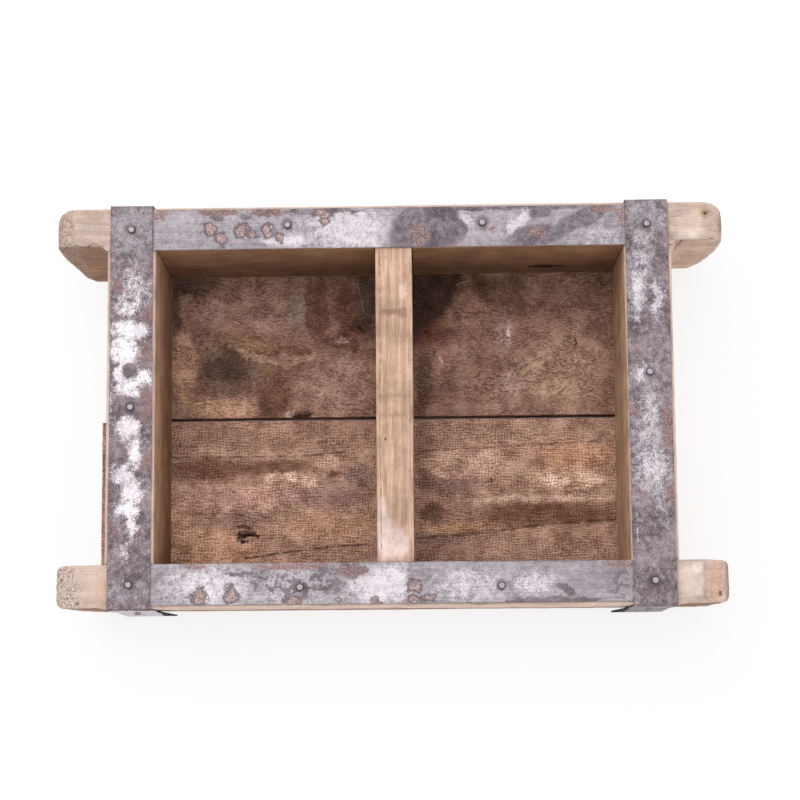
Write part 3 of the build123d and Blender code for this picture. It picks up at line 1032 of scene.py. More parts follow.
@dataclass
class Rail:
    """A long board whose ends are cut to blunt, rounded handles. Sizes are in millimetres.

    The nose is the side outline of a handle's end: how far each place lies in from the tip, and its height
    above the floor planks' underside. A lean is how far the foot of the inner face stands in at one end. On
    the handles the inner face leans more: their top arris is cut back, and their foot may stand in.
    """

    node: str
    outer_corner: float
    inner_corner: float
    nose: tuple[tuple[float, float], ...]
    arris_radius: float = 1.1
    strip: float = 3.4
    handle_strip: float = 0.85
    rough_length: float = 15.0
    rough_depth: float = 0.6
    housing_depth: float = 6.15
    housing_clearance: float = 0.15
    shoulder_width: float = 3.0
    recess_radius: float = 3.35
    recess_depth: float = 1.6
    left_lean: float = 0.0
    right_lean: float = 0.0
    handle_cuts: tuple[float, float] = (0.0, 0.0)
    handle_feet: tuple[float, float] = (0.0, 0.0)
    hollows: tuple[tuple[Spot, float], ...] = ()
    recesses: tuple[tuple[float, float], ...] = ()

    def build(self) -> Piece:
        """Models the rail and returns its mesh object."""
        low, high = (Vector(corner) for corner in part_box(self.node))
        rail = start_block(f"{self.node}_timber", low, high)
        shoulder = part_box("right_end_board")[1][0]
        outward = 1 if low.y > 0 else -1
        outer, inner = (high.y, low.y) if outward > 0 else (low.y, high.y)
        with Bench(rail) as bench:
            for side, lean in ((-1, self.left_lean), (1, self.right_lean)):
                bench.pick_points(
                    lambda place: near(place.y, inner) and near(place.z, low.z) and place.x * side > 0
                )
                bpy.ops.transform.translate(value=(0, -outward * lean * MM, 0))
            for side, tip in ((-1, low.x), (1, high.x)):
                self.cut_nose(bench, side, tip)
                self.round_corner(bench, side, tip, outer, outward, self.outer_corner)
                self.round_corner(bench, side, tip, inner, -outward, self.inner_corner)
            bench.turn_out()
            bench.pick_edges(
                lambda a, b: near(a.y, b.y, 3 * MM) and near(a.z, b.z) and abs(a.x - b.x) > 300 * MM
            )
            bpy.ops.mesh.bevel(offset=self.arris_radius * MM, segments=2, affect="EDGES")
            bench.slice(Axis.ALONG, -shoulder, shoulder, self.strip)
            bench.slice(Axis.ALONG, low.x + 0.3 * MM, -shoulder, self.handle_strip)
            bench.slice(Axis.ALONG, shoulder, high.x - 0.3 * MM, self.handle_strip)
            bench.slice(Axis.ACROSS, low.y, high.y, 1.1)
            bench.slice(Axis.UP, low.z, high.z, 1.6)
            bench.pick_points(lambda place: abs(place.x) > shoulder + 3 * MM)
            bpy.ops.mesh.vertices_smooth(factor=0.5, repeat=10)
        for side, cut, foot in zip((-1, 1), self.handle_cuts, self.handle_feet):
            if cut or foot:
                self.lean_handle(rail, side, inner, outer, (low.z, high.z), cut * outward)
                self.lean_handle(rail, side, inner, outer, (high.z, low.z), -foot * outward)
        self.weather(rail, high.x)
        self.cut_joints(rail, inner, outer, outward)
        return rail

    def cut_nose(self, bench: Bench, side: int, tip: float) -> None:
        """Saws the nose of one handle along its side outline.

        Args:
            bench: the bench that holds the rail.
            side: -1 for the left end and 1 for the right one.
            tip: the place of the end, in metres.
        """
        for (inset, height), (next_inset, next_height) in zip(self.nose, self.nose[1:]):
            if inset != next_inset:
                place = (tip - side * inset * MM, 0, height * MM)
                bench.trim(place, (side * (height - next_height), 0, inset - next_inset))

    def round_corner(
        self, bench: Bench, side: int, tip: float, face: float, outward: int, radius: float
    ) -> None:
        """Rounds one upright corner of a handle with a few cuts."""
        for angle in (math.radians(degrees) for degrees in (22, 45, 68)):
            outward_normal = (side * math.cos(angle), outward * math.sin(angle), 0)
            reach = radius * (1 - math.cos(angle)), radius * (1 - math.sin(angle))
            place = (tip - side * reach[0] * MM, face - outward * reach[1] * MM, 0)
            bench.trim(place, outward_normal)

    def lean_handle(
        self, rail: Piece, side: int, inner: float, outer: float, levels: tuple[float, float],
        shift: float,
    ) -> None:
        """Shifts the inner face of one handle across the mould.

        Args:
            rail: the rail.
            side: -1 for the left handle and 1 for the right one.
            inner, outer: the places of the rail's two faces, in metres.
            levels: the height at which nothing moves, and the one at which the face moves most, in metres.
            shift: how far it moves there, in millimetres.
        """
        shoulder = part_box("right_end_board")[1][0]

        def weight(place: Vector) -> float:
            """How far a point moves, from 0 to 1."""
            out = min(1.0, max(0.0, (side * place.x - shoulder) / (5 * MM)))
            upright = (place.z - levels[0]) / (levels[1] - levels[0])
            return out * max(0.0, upright) * (place.y - outer) / (inner - outer)

        shrink_into(rail, weight, -shift, "Y")

    def weather(self, rail: Piece, tip: float) -> None:
        """Wears the rail: a slow swell, the grain, rough end grain on the noses and some hollows."""
        Unevenness(size=38, depth=0.7, stretch=(3, 1, 1)).press_into(rail)
        Unevenness(size=2.6, depth=0.35, stretch=(7, 1, 1), shift=40).press_into(rail)
        start = tip - self.rough_length * MM
        weigh_points(rail, "Nose", lambda place: (abs(place.x) - start) / (3.5 * MM))
        Unevenness(size=1.8, depth=self.rough_depth, middle=0.85, layers=3, shift=15).press_into(rail, "Nose")
        Unevenness(size=5.0, depth=self.rough_depth, middle=0.85, layers=1, shift=7).press_into(rail, "Nose")
        rail.vertex_groups.clear()
        for spot, depth in self.hollows:
            sink(rail, spot, depth)

    def cut_joints(self, rail: Piece, inner: float, outer: float, outward: int) -> None:
        """Cuts the housings of the cross boards and the recesses of the sunk nail heads."""
        cutters = []
        clearance = self.housing_clearance * MM
        for node in ("left_end_board", "right_end_board", "divider"):
            low, high = (Vector(corner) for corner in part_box(node))
            low.x += self.shoulder_width * MM * (node == "left_end_board")
            high.x -= self.shoulder_width * MM * (node == "right_end_board")
            across = sorted((inner - outward * 6 * MM, inner + outward * self.housing_depth * MM))
            start = Vector((low.x - clearance, across[0], low.z - 3 * MM))
            end = Vector((high.x + clearance, across[1], high.z + 3 * MM))
            cutters.append(start_block("Housing Cutter", start, end))
        for x, z in self.recesses:
            depth = self.recess_depth * MM
            cutters.append(start_drill(
                Vector((x * MM, outer, z * MM)), Vector((0, outward, 0)), self.recess_radius * MM, depth
            ))
        cut_with(rail, cutters)


def sink(piece: Piece, spot: Spot, depth: float) -> None:
    """Sinks the top of a piece inside a spot, deepest at its centre.

    Args:
        piece: the piece.
        spot: the place of the hollow.
        depth: its depth in millimetres.
    """
    turn = math.radians(spot.turn)
    top = max(point.co.z for point in piece.data.vertices)

    def weight(place: Vector) -> float:
        """How far a point sinks, from 0 to 1."""
        x, y = place.x / MM - spot.x, place.y / MM - spot.y
        along = (x * math.cos(turn) + y * math.sin(turn)) / spot.half_x
        across = (y * math.cos(turn) - x * math.sin(turn)) / spot.half_y
        away = math.hypot(along, across)
        return 0.0 if place.z < top - 7 * MM else 1 - away ** 3

    shrink_into(piece, weight, depth, "Z")


def start_drill(place: Vector, outward: Vector, radius: float, depth: float) -> Piece:
    """Starts a round cutter that goes into a face by a depth. Lengths are in metres."""
    spare = 3 * MM
    middle = place + outward * (spare - depth) / 2
    bpy.ops.object.select_all(action="DESELECT")
    bpy.ops.mesh.primitive_cylinder_add(
        vertices=24, radius=radius, depth=depth + spare, location=middle,
        rotation=outward.to_track_quat("Z", "Y").to_euler(),
    )
    drill = bpy.context.active_object
    bpy.ops.object.transform_apply(location=True, rotation=True, scale=True)
    return drill


@dataclass
class CrossBoard:
    """A board between the rails: an end board or the divider. Sizes are in millimetres."""

    node: str
    worn_side: int = 0
    shoulder_side: int = 0
    shoulder_width: float = 3.0
    arris_radius: float = 1.0
    worn_radius: float = 2.0
    strip: float = 2.6
    shift: float = 0.0

    def build(self) -> Piece:
        """Models the board and returns its mesh object."""
        low, high = (Vector(corner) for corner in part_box(self.node))
        board = start_block(f"{self.node}_timber", low, high)
        worn = high.x if self.worn_side > 0 else low.x
        with Bench(board) as bench:
            if self.worn_side:
                bench.pick_edges(lambda a, b: near(a.x, worn) and near(b.x, worn) and near(a.z, high.z) and near(b.z, high.z))
                bpy.ops.mesh.bevel(offset=self.worn_radius * MM, segments=2, affect="EDGES")
            bench.pick_edges(lambda a, b: near(a.x, b.x) and near(a.z, b.z) and (
                near(a.z, low.z) or (near(a.z, high.z) and not near(a.x, worn, 3 * MM) and self.worn_side != 0)
                or self.worn_side == 0
            ))
            bpy.ops.mesh.bevel(offset=self.arris_radius * MM, segments=2, affect="EDGES")
            bench.slice(Axis.ACROSS, low.y, high.y, self.strip)
            bench.slice(Axis.ALONG, low.x, high.x, 1.9)
            bench.slice(Axis.UP, low.z, high.z, self.strip)
        Unevenness(size=30, depth=0.7, stretch=(1, 3, 1), shift=11 + self.shift).press_into(board)
        Unevenness(size=2.6, depth=0.35, stretch=(1, 7, 1), shift=23 + self.shift).press_into(board)
        if self.shoulder_side:
            self.cut_shoulders(board, low, high)
        return board

    def cut_shoulders(self, board: Piece, low: Vector, high: Vector) -> None:
        """Cuts back the outer corners of the board's ends, where they go into the rails."""
        face = high.x if self.shoulder_side > 0 else low.x
        across = sorted((face - self.shoulder_side * self.shoulder_width * MM, face + self.shoulder_side * 3 * MM))
        rail_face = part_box("rear_rail")[0][1]
        cutters = []
        for side in (-1, 1):
            ends = sorted((side * rail_face, side * (high.y + 3 * MM)))
            start = Vector((across[0], ends[0], low.z - 3 * MM))
            end = Vector((across[1], ends[1], high.z + 3 * MM))
            cutters.append(start_block("Shoulder Cutter", start, end))
        cut_with(board, cutters)


@dataclass
class Plank:
    """A floor plank with its knots, chips and sunk nail heads. Sizes are in millimetres."""

    node: str
    arris_radius: float = 0.5
    step: float = 1.7
    shift: float = 0.0
    recess_radius: float = 3.35
    recess_depth: float = 1.6
    hollows: tuple[tuple[Spot, float], ...] = ()
    recesses: tuple[tuple[float, float], ...] = ()

    def build(self) -> Piece:
        """Models the plank and returns its mesh object."""
        low, high = (Vector(corner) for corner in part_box(self.node))
        plank = start_block(f"{self.node}_timber", low, high)
        with Bench(plank) as bench:
            bench.pick_edges(lambda a, b: True)
            bpy.ops.mesh.bevel(offset=self.arris_radius * MM, segments=2, affect="EDGES")
            bench.halve(Axis.ALONG, self.step)
            bench.halve(Axis.ACROSS, self.step)
            bench.halve(Axis.UP, 4)
        Unevenness(size=26, depth=0.6, stretch=(3, 1, 1), shift=31 + self.shift).press_into(plank)
        Unevenness(size=2.2, depth=0.4, stretch=(5, 1, 1), shift=3 + self.shift).press_into(plank)
        for spot, depth in self.hollows:
            sink(plank, spot, depth)
        drills = [
            start_drill(
                Vector((x * MM, y * MM, low.z)), Vector((0, 0, -1)), self.recess_radius * MM, self.recess_depth * MM
            ) for x, y in self.recesses
        ]
        cut_with(plank, drills)
        return plank


@dataclass
class RailStrap:
    """A flat strap of hoop iron along a rail. Sizes are in millimetres."""

    node: str
    edge_radius: float = 0.35
    strip: float = 2.6
    shift: float = 0.0

    def build(self) -> Piece:
        """Models the strap and returns its mesh object."""
        low, high = (Vector(corner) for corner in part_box(self.node))
        strap = start_block(f"{self.node}_hoop_iron", low, high)
        with Bench(strap) as bench:
            bench.pick_edges(lambda a, b: True)
            bpy.ops.mesh.bevel(offset=self.edge_radius * MM, segments=2, affect="EDGES")
            bench.slice(Axis.ALONG, low.x, high.x, self.strip)
            bench.slice(Axis.ACROSS, low.y, high.y, self.strip)
        dent(strap, self.shift)
        return strap


def dent(strap: Piece, shift: float) -> None:
    """Dents hoop iron a little and makes its edges uneven, all inwards."""
    Unevenness(size=24, depth=0.6, stretch=(2, 2, 1), shift=shift).press_into(strap)
    Unevenness(size=7, depth=0.25, shift=9 + shift).press_into(strap)
    Unevenness(size=2.2, depth=0.15, shift=17 + shift).press_into(strap)


@dataclass
class EndStrap:
    """A strap of hoop iron over an end board, turned down over the rails. Sizes are in millimetres."""

    node: str
    thickness: float = 1.5
    bend_radius: float = 1.2
    joggle_run: float = 4.0
    joggle_setback: float = 1.0
    joggle_radius: float = 4.0
    tight_length: float = 40.0
    leaving_radius: float = 20.0
    spring_gap: float = 1.6
    spread: float = 7.0
    width: float = 29.0
    strip: float = 2.6
    shift: float = 0.0

    def build(self) -> Piece:
        """Models the strap from one bent and thickened strip, and returns its mesh object."""
        low, high = (Vector(corner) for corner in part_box(self.node))
        rail_low, rail_high = (Vector(corner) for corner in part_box("rear_rail"))
        is_left = low.x < 0
        outer = low.x if is_left else high.x
        inward = 1 if is_left else -1
        inner = outer + inward * self.width * MM
        frame_top = rail_high.z
        over_straps = high.z - self.thickness * MM
        joggle = rail_low.y - self.joggle_setback * MM
        side = [
            (rail_high.y + self.spring_gap * MM, low.z),
            (rail_high.y, frame_top - self.tight_length * MM),
            (rail_high.y, over_straps),
            (joggle, over_straps),
            (joggle - self.joggle_run * MM, frame_top),
        ]
        path = [(-y, z) for y, z in side] + [(y, z) for y, z in reversed(side)]
        strap = self.bend_strip(path, outer, inner)
        corners = (
            (1, self.leaving_radius * 0.1, 2), (2, self.bend_radius, 4), (3, self.joggle_radius * 0.2, 3),
            (4, self.joggle_radius * 0.2, 3),
        )
        with Bench(strap) as bench:
            bench.pick_points(lambda place: near(place.x, inner) and near(place.z, low.z))
            bpy.ops.transform.translate(value=(inward * self.spread * MM, 0, 0))
            for number, radius, segments in corners:
                y, z = side[number]
                bench.pick_edges(
                    lambda a, b: near(abs(a.y), y) and near(abs(b.y), y) and near(a.z, z) and near(b.z, z)
                )
                bpy.ops.mesh.bevel(offset=radius * MM, segments=segments, affect="EDGES")
            bpy.ops.mesh.select_all(action="SELECT")
            bpy.ops.mesh.normals_make_consistent(inside=False)
            bench.slice(Axis.ACROSS, -rail_low.y, rail_low.y, self.strip)
            bench.slice(Axis.ACROSS, rail_low.y, rail_high.y, self.strip)
            bench.slice(Axis.ACROSS, -rail_high.y, -rail_low.y, self.strip)
            bench.slice(Axis.UP, low.z, frame_top, self.strip)
            bench.slice(Axis.ALONG, low.x, high.x, self.strip)
        self.face_out(strap)
        apply_modifier(strap, "SOLIDIFY", thickness=self.thickness * MM, offset=1.0, use_even_offset=True)
        apply_modifier(
            strap, "BEVEL", width=0.3 * MM, segments=2, limit_method="ANGLE", angle_limit=math.radians(60)
        )
        dent(strap, self.shift)
        return strap

    def bend_strip(
        self, path: Sequence[tuple[float, float]], outer: float, inner: float
    ) -> Piece:
        """Extrudes a strip along the underside of the strap.

        Args:
            path: the places along the underside, across and up, in metres.
            outer, inner: the places of the strap's two edges along the rails.

        Returns:
            The open strip.
        """
        y, z = path[0]
        bpy.ops.object.select_all(action="DESELECT")
        bpy.ops.mesh.primitive_plane_add(
            size=1, location=((outer + inner) / 2, y - 0.5, z), scale=(abs(inner - outer), 1, 1)
        )
        strap = bpy.context.active_object
        strap.name = f"{self.node}_hoop_iron"
        strap.data.name = strap.name
        bpy.ops.object.transform_apply(location=True, rotation=True, scale=True)
        with Bench(strap) as bench:
            bpy.ops.mesh.select_all(action="SELECT")
            bpy.ops.transform.resize(
                value=(abs(inner - outer) / (strap.dimensions.x or 1), 1, 1),
                center_override=((outer + inner) / 2, y, z),
            )
            bench.pick_points(lambda place: place.y < y - 0.5)
            bpy.ops.mesh.delete(type="VERT")
            bpy.ops.mesh.select_mode(type="EDGE")
            bpy.ops.mesh.select_all(action="SELECT")
            for (from_y, from_z), (to_y, to_z) in zip(path, path[1:]):
                bpy.ops.mesh.extrude_region_move(
                    TRANSFORM_OT_translate={"value": (0, to_y - from_y, to_z - from_z)}
                )
        return strap

    def face_out(self, strap: Piece) -> None:
        """Turns the strip's faces up and out, so that its thickness goes outwards."""
        top = max(strap.data.polygons, key=lambda face: face.center.z)
        if top.normal.z < 0:
            with Bench(strap):
                bpy.ops.mesh.select_all(action="SELECT")
                bpy.ops.mesh.flip_normals()


class Drive(Enum):
    """The way in which a nail is driven, as the angle in degrees that turns one pointing down."""

    DOWN = 0.0
    FROM_REAR = -90.0
    FROM_FRONT = 90.0
    UP = 180.0


@dataclass(frozen=True)
class Seat:
    """The place of the underside of a nail's head, in millimetres, and the way that the nail is driven."""

    x: float
    y: float
    z: float
    drive: Drive = Drive.DOWN

    def placing(self, lean: float) -> Matrix:
        """The matrix that puts an upright nail in this seat, leaning by an angle in degrees and spun at will."""
        place = Matrix.Translation((self.x * MM, self.y * MM, self.z * MM))
        turn = Matrix.Rotation(math.radians(self.drive.value), 4, "X")
        leaning = Matrix.Rotation(math.radians(lean * math.sin(self.x + 2 * self.y)), 4, "Y")
        return place @ turn @ leaning @ Matrix.Rotation(self.x + self.y, 4, "Z")


@dataclass
class NailGroup:
    """The nails of one node, all with hammered round heads or flat ones. Sizes are in millimetres."""

    node: str
    is_round: bool
    length: float
    seats: tuple[Seat, ...]
    shank_radius: float = 1.4
    point_length: float = 4.0
    round_head_radius: float = 2.7
    flat_head_radius: float = 3.1
    lean: float = 2.0

    def build(self) -> Piece:
        """Models one nail, copies it to every seat and returns all of them as one mesh object."""
        first = self.forge_nail()
        copies = []
        for seat in self.seats:
            copy = first.copy()
            copy.data = first.data.copy()
            bpy.context.collection.objects.link(copy)
            copy.data.transform(seat.placing(self.lean))
            copies.append(copy)
        bpy.data.objects.remove(first)
        join_pieces(copies)
        nails = bpy.context.active_object
        nails.name = f"{self.node}_forged"
        nails.data.name = nails.name
        return nails

    def forge_nail(self) -> Piece:
        """Shapes one nail from a cylinder: its head, its shank and its point."""
        radius = self.round_head_radius if self.is_round else self.flat_head_radius
        bpy.ops.object.select_all(action="DESELECT")
        bpy.ops.mesh.primitive_cylinder_add(
            vertices=20, radius=radius * MM, depth=0.45 * MM, location=(0, 0, 0.225 * MM)
        )
        nail = bpy.context.active_object
        bpy.ops.object.transform_apply(location=True, rotation=True, scale=True)
        rises = ((0.25, 0.45), (0.4, 0.35), (0.5, 0.2), (0.7, 0.08)) if self.is_round else ((0.2, 0.45), (0.9, 0.08))
        with Bench(nail) as bench:
            bench.pick_faces(lambda face: face.normal.z > 0.9)
            for inset, rise in rises:
                bpy.ops.mesh.inset(thickness=inset * MM)
                bpy.ops.transform.translate(value=(0, 0, rise * MM))
            bench.pick_faces(lambda face: face.normal.z < -0.9)
            bpy.ops.mesh.inset(thickness=(radius - self.shank_radius) * MM)
            straight = self.length - self.point_length
            bpy.ops.mesh.extrude_region_move(TRANSFORM_OT_translate={"value": (0, 0, -straight * MM)})
            bpy.ops.mesh.extrude_region_move(
                TRANSFORM_OT_translate={"value": (0, 0, -(self.point_length - 0.2) * MM)}
            )
            bpy.ops.transform.resize(value=(0.12, 0.12, 1), center_override=(0, 0, -self.length * MM))
        Unevenness(size=1.5, depth=0.35, middle=0.85, shift=self.length).press_into(nail)
        return nail


# The studio

@dataclass(frozen=True)
class Studio:
    """The pale floor, the lamps and the camera. Lengths are in metres."""

    camera_place: tuple[float, float, float] = (0.0245, -0.1656, 1.1994)
    camera_turn: tuple[float, float, float] = (6.41, 0.99, -0.48)
    focal_length: float = 75.88
    sensor_width: float = 36.0
    upward_shift: float = 0.08
    ambient: float = 0.5
    floor_half: float = 6.0
    floor_glow: float = 0.74

    def build(self, effects: Effects) -> None:
        """Sets up the camera, the lamps, the world and the floor."""
        self.place_camera()
        self.place_lamp("Key Lamp", (-0.8, 1.0, 2.1), 2.8, 44.0)
        self.place_lamp("Fill Lamp", (1.2, -0.5, 2.2), 2.8, 18.0)
        self.light_world()
        self.lay_floor(effects)
        bpy.context.scene.view_settings.view_transform = "Standard"

    def place_camera(self) -> None:
        """Puts the camera above the front half of the mould, looking down."""
        lens = bpy.data.cameras.new("Camera")
        lens.lens = self.focal_length
        lens.sensor_width = self.sensor_width
        lens.shift_y = self.upward_shift
        camera = bpy.data.objects.new("Camera", lens)
        camera.location = self.camera_place
        camera.rotation_euler = [math.radians(angle) for angle in self.camera_turn]
        bpy.context.collection.objects.link(camera)
        bpy.context.scene.camera = camera

    def place_lamp(self, name: str, place: Sequence[float], size: float, power: float) -> None:
        """Hangs a large soft lamp that faces the mould."""
        light = bpy.data.lights.new(name, "AREA")
        light.size = size
        light.energy = power
        lamp = bpy.data.objects.new(name, light)
        lamp.location = place
        lamp.rotation_euler = (-Vector(place)).to_track_quat("-Z", "Y").to_euler()
        bpy.context.collection.objects.link(lamp)

    def seen(self, wiring: Wiring) -> Socket:
        """Whether a surface is seen by the camera or in a reflection, rather than lighting another one."""
        path = wiring.tree.nodes.new("ShaderNodeLightPath").outputs
        mirrored = wiring.number("MAXIMUM", path["Is Glossy Ray"], path["Is Transmission Ray"])
        return wiring.number("MAXIMUM", path["Is Camera Ray"], mirrored)

    def light_world(self) -> None:
        """Lights the mould evenly, and shows plain white wherever the world is seen."""
        world = bpy.data.worlds.new("World")
        bpy.context.scene.world = world
        world.use_nodes = True
        wiring = Wiring(world.node_tree)
        background = world.node_tree.nodes["Background"]
        background.inputs["Color"].default_value = (1, 1, 1, 1)
        wiring.feed(background.inputs["Strength"], wiring.slide(self.seen(wiring), self.ambient, 1.0))

    def lay_floor(self, effects: Effects) -> None:
        """Lays the pale floor, which keeps a light shadow round the mould and is dark under it."""
        bpy.ops.object.select_all(action="DESELECT")
        bpy.ops.mesh.primitive_plane_add(size=2 * self.floor_half, location=(0, 0, 0))
        floor = bpy.context.active_object
        floor.name = "studio_floor"
        finish = Finish("Studio Floor", effects)
        finish.set_surface(Base_Color=(0.93, 0.86, 0.89, 1.0), Roughness=0.9, Specular_IOR_Level=0.0)
        wiring = finish.wiring
        glow = wiring.node("ShaderNodeEmission", {"Color": (1.0, 1.0, 1.0, 1.0), "Strength": 1.06})
        under = Zone((-185.0, -130.0, -9.0), (185.0, 130.0, 9.0)).inside(wiring, effects, finish.place)
        share = wiring.times(self.seen(wiring), self.floor_glow)
        share = wiring.times(share, wiring.number("SUBTRACT", 1.0, under))
        mixed = wiring.node("ShaderNodeMixShader", {0: share, 1: finish.shader.outputs[0], 2: glow.outputs[0]})
        output = finish.material.node_tree.nodes["Material Output"]
        wiring.feed(output.inputs["Surface"], mixed.outputs[0])
        floor.data.materials.append(finish.material)


# The marks of wear, and the painted shade and light on the inner faces, the rear plank and the straps, read off the
# mould

BLACK_HOLE = shade(22, 15, 13)
DARK_CRACK = shade(70, 50, 42)
CELL_LOW = 12.0
CELL_HIGH = 87.0


def stains(tone: Colour, strength: float, *areas: Area) -> tuple[Stain, ...]:
    """Patches of one colour, for staining and for painted shade and light."""
    return tuple(Stain(tone, strength, area) for area in areas)


REAR_RAIL_SIDES = (
    *stains(shade(142, 106, 80), 0.7, Zone((-157, 103, CELL_LOW), (158, 108, CELL_HIGH), 3)),
    # Painted shade and light: the inner face darkens towards the floor and pales towards the top, standing in for
    # the shade deep in the cell.
    *stains(shade(90, 62, 45), 0.5, Zone((-157, 100, CELL_LOW), (158, 108, 34), 24)),
    *stains(shade(178, 140, 106), 0.7, Zone((-157, 100, 84), (158, 108, 92), 34)),
    # Painted light: the inner sides of the rear handles are painted paler, the right one most, for light on faces
    # turned from the key lamp.
    *stains(shade(255, 226, 204), 0.95, Zone((190, 98, 14), (230, 113, 87), 3)),
    *stains(shade(196, 164, 142), 0.6, Zone((-230, 100, 14), (-190, 113, 87), 3)),
    *stains(
        BLACK_HOLE, 0.85, Zone((98, 100, 33), (121, 109, 36), 2),
        Zone((102, 100, 31), (112, 109, 38), 2),
    ),
)
REAR_RAIL_TOPS = (
    *stains(shade(206, 170, 146), 0.5, Spot(-198, 131, 7, 4)),
    *stains(shade(178, 152, 136), 0.4, Spot(-217, 119, 5, 13)),
    *stains(shade(186, 154, 134), 0.4, Spot(214, 120, 4, 8)),
    *stains(shade(176, 150, 116), 0.7, Spot(213, 127, 4, 3.5)),
    *stains(shade(238, 222, 212), 0.6, Spot(201, 111, 6.5, 4)),
    *stains(DARK_CRACK, 0.9, Spot(213, 127, 1.4, 1.1), Spot(215, 108, 3, 0.9, 30), Spot(-211, 108, 1.6, 0.8)),
)
REAR_RAIL_CRACKS = (
    Crack(shade(150, 116, 94), 0.6, 0.6, ((188, 124), (196, 125.5), (199, 125))),
    Crack(shade(120, 90, 72), 0.6, 0.6, ((190, 109.5), (194, 107.5), (197, 108.5))),
    Crack(shade(110, 84, 68), 0.7, 0.6, ((-203, 109), (-199, 111), (-195, 109.5), (-192, 108.5))),
)
FRONT_RAIL_SIDES = (
    # Painted light and a worn arris: the front rail's outer face, turned from the key lamp, is painted pale.
    *stains(shade(252, 226, 212), 0.9, Zone((-190, -137, 40), (190, -133, 90), 1)),
    *stains(shade(142, 106, 80), 0.7, Zone((-157, -108, CELL_LOW), (158, -103, CELL_HIGH), 3)),
)
FRONT_RAIL_TOPS = (
    *stains(shade(210, 186, 170), 0.4, Spot(-214, -118, 6, 10.5)),
    *stains(shade(208, 170, 142), 0.5, Spot(-191, -122, 4, 12)),
    *stains(shade(228, 208, 198), 0.5, Spot(196, -119, 11, 13)),
    *stains(shade(206, 182, 168), 0.6, Spot(-200, -119, 10, 13)),
    *stains(shade(208, 164, 136), 0.75, Spot(213, -120, 5.5, 12)),
    *stains(shade(178, 152, 150), 0.6, Spot(206, -119, 1.5, 13)),
    *stains(shade(242, 226, 216), 0.7, Spot(201, -111, 3.5, 3.5), Spot(202, -127, 2.5, 2.5)),
    *stains(DARK_CRACK, 0.9, Spot(216, -128, 1.2, 1.8), Spot(-207, -131, 1.2, 1.2)),
)
LEFT_BOARD_SIDES = (
    # Painted shade and light: the left inner face, turned from the key lamp, is painted darker than the right one,
    # paler towards its top and darker towards its foot.
    *stains(shade(146, 106, 78), 0.6, Zone((-158, -107, CELL_LOW), (-154, 107, 84), 3)),
    *stains(shade(214, 174, 142), 0.85, Zone((-158, -107, 84), (-154, 107, 92), 44)),
    *stains(shade(104, 72, 52), 0.5, Zone((-158, -107, 10), (-154, 107, 26), 26)),
)
RIGHT_BOARD_SIDES = (
    # Painted light: the right inner face, turned towards the key lamp, is painted paler than the left one, and paler
    # again towards its top.
    *stains(shade(184, 149, 124), 0.7, Zone((155, -107, CELL_LOW), (159, 107, 84), 3)),
    *stains(shade(214, 178, 150), 0.7, Zone((155, -107, 84), (159, 107, 92), 34)),
)
# Painted light: the divider's sides are painted paler from a little above the floor up to the top.
DIVIDER_SIDES = stains(
    shade(204, 170, 146), 0.7, Zone((-13, -107, 30), (19, 107, 92), 20)
)
DIVIDER_TOPS = (
    *stains(shade(150, 116, 98), 0.7, Spot(9, 61, 3.5, 4), Spot(1, 62, 6.5, 2)),
    *stains(shade(232, 204, 186), 0.6, Spot(9, 76, 2.5, 5.5)),
    *stains(shade(166, 130, 112), 0.5, Spot(3, 5, 10.5, 1.5), Spot(0, -8, 9.5, 1.5)),
    *stains(shade(240, 216, 210), 0.7, Spot(-2, -91, 8, 13), Spot(6, -94, 5.5, 9), Spot(-5, -84, 3.5, 20)),
    *stains(DARK_CRACK, 0.9, Spot(-3, -24, 1, 1)),
)
DIVIDER_CRACKS = (
    Crack(shade(150, 112, 90), 0.7, 0.7, ((-6.5, 104), (-6, 40), (-6.8, -30), (-6.2, -100))),
)
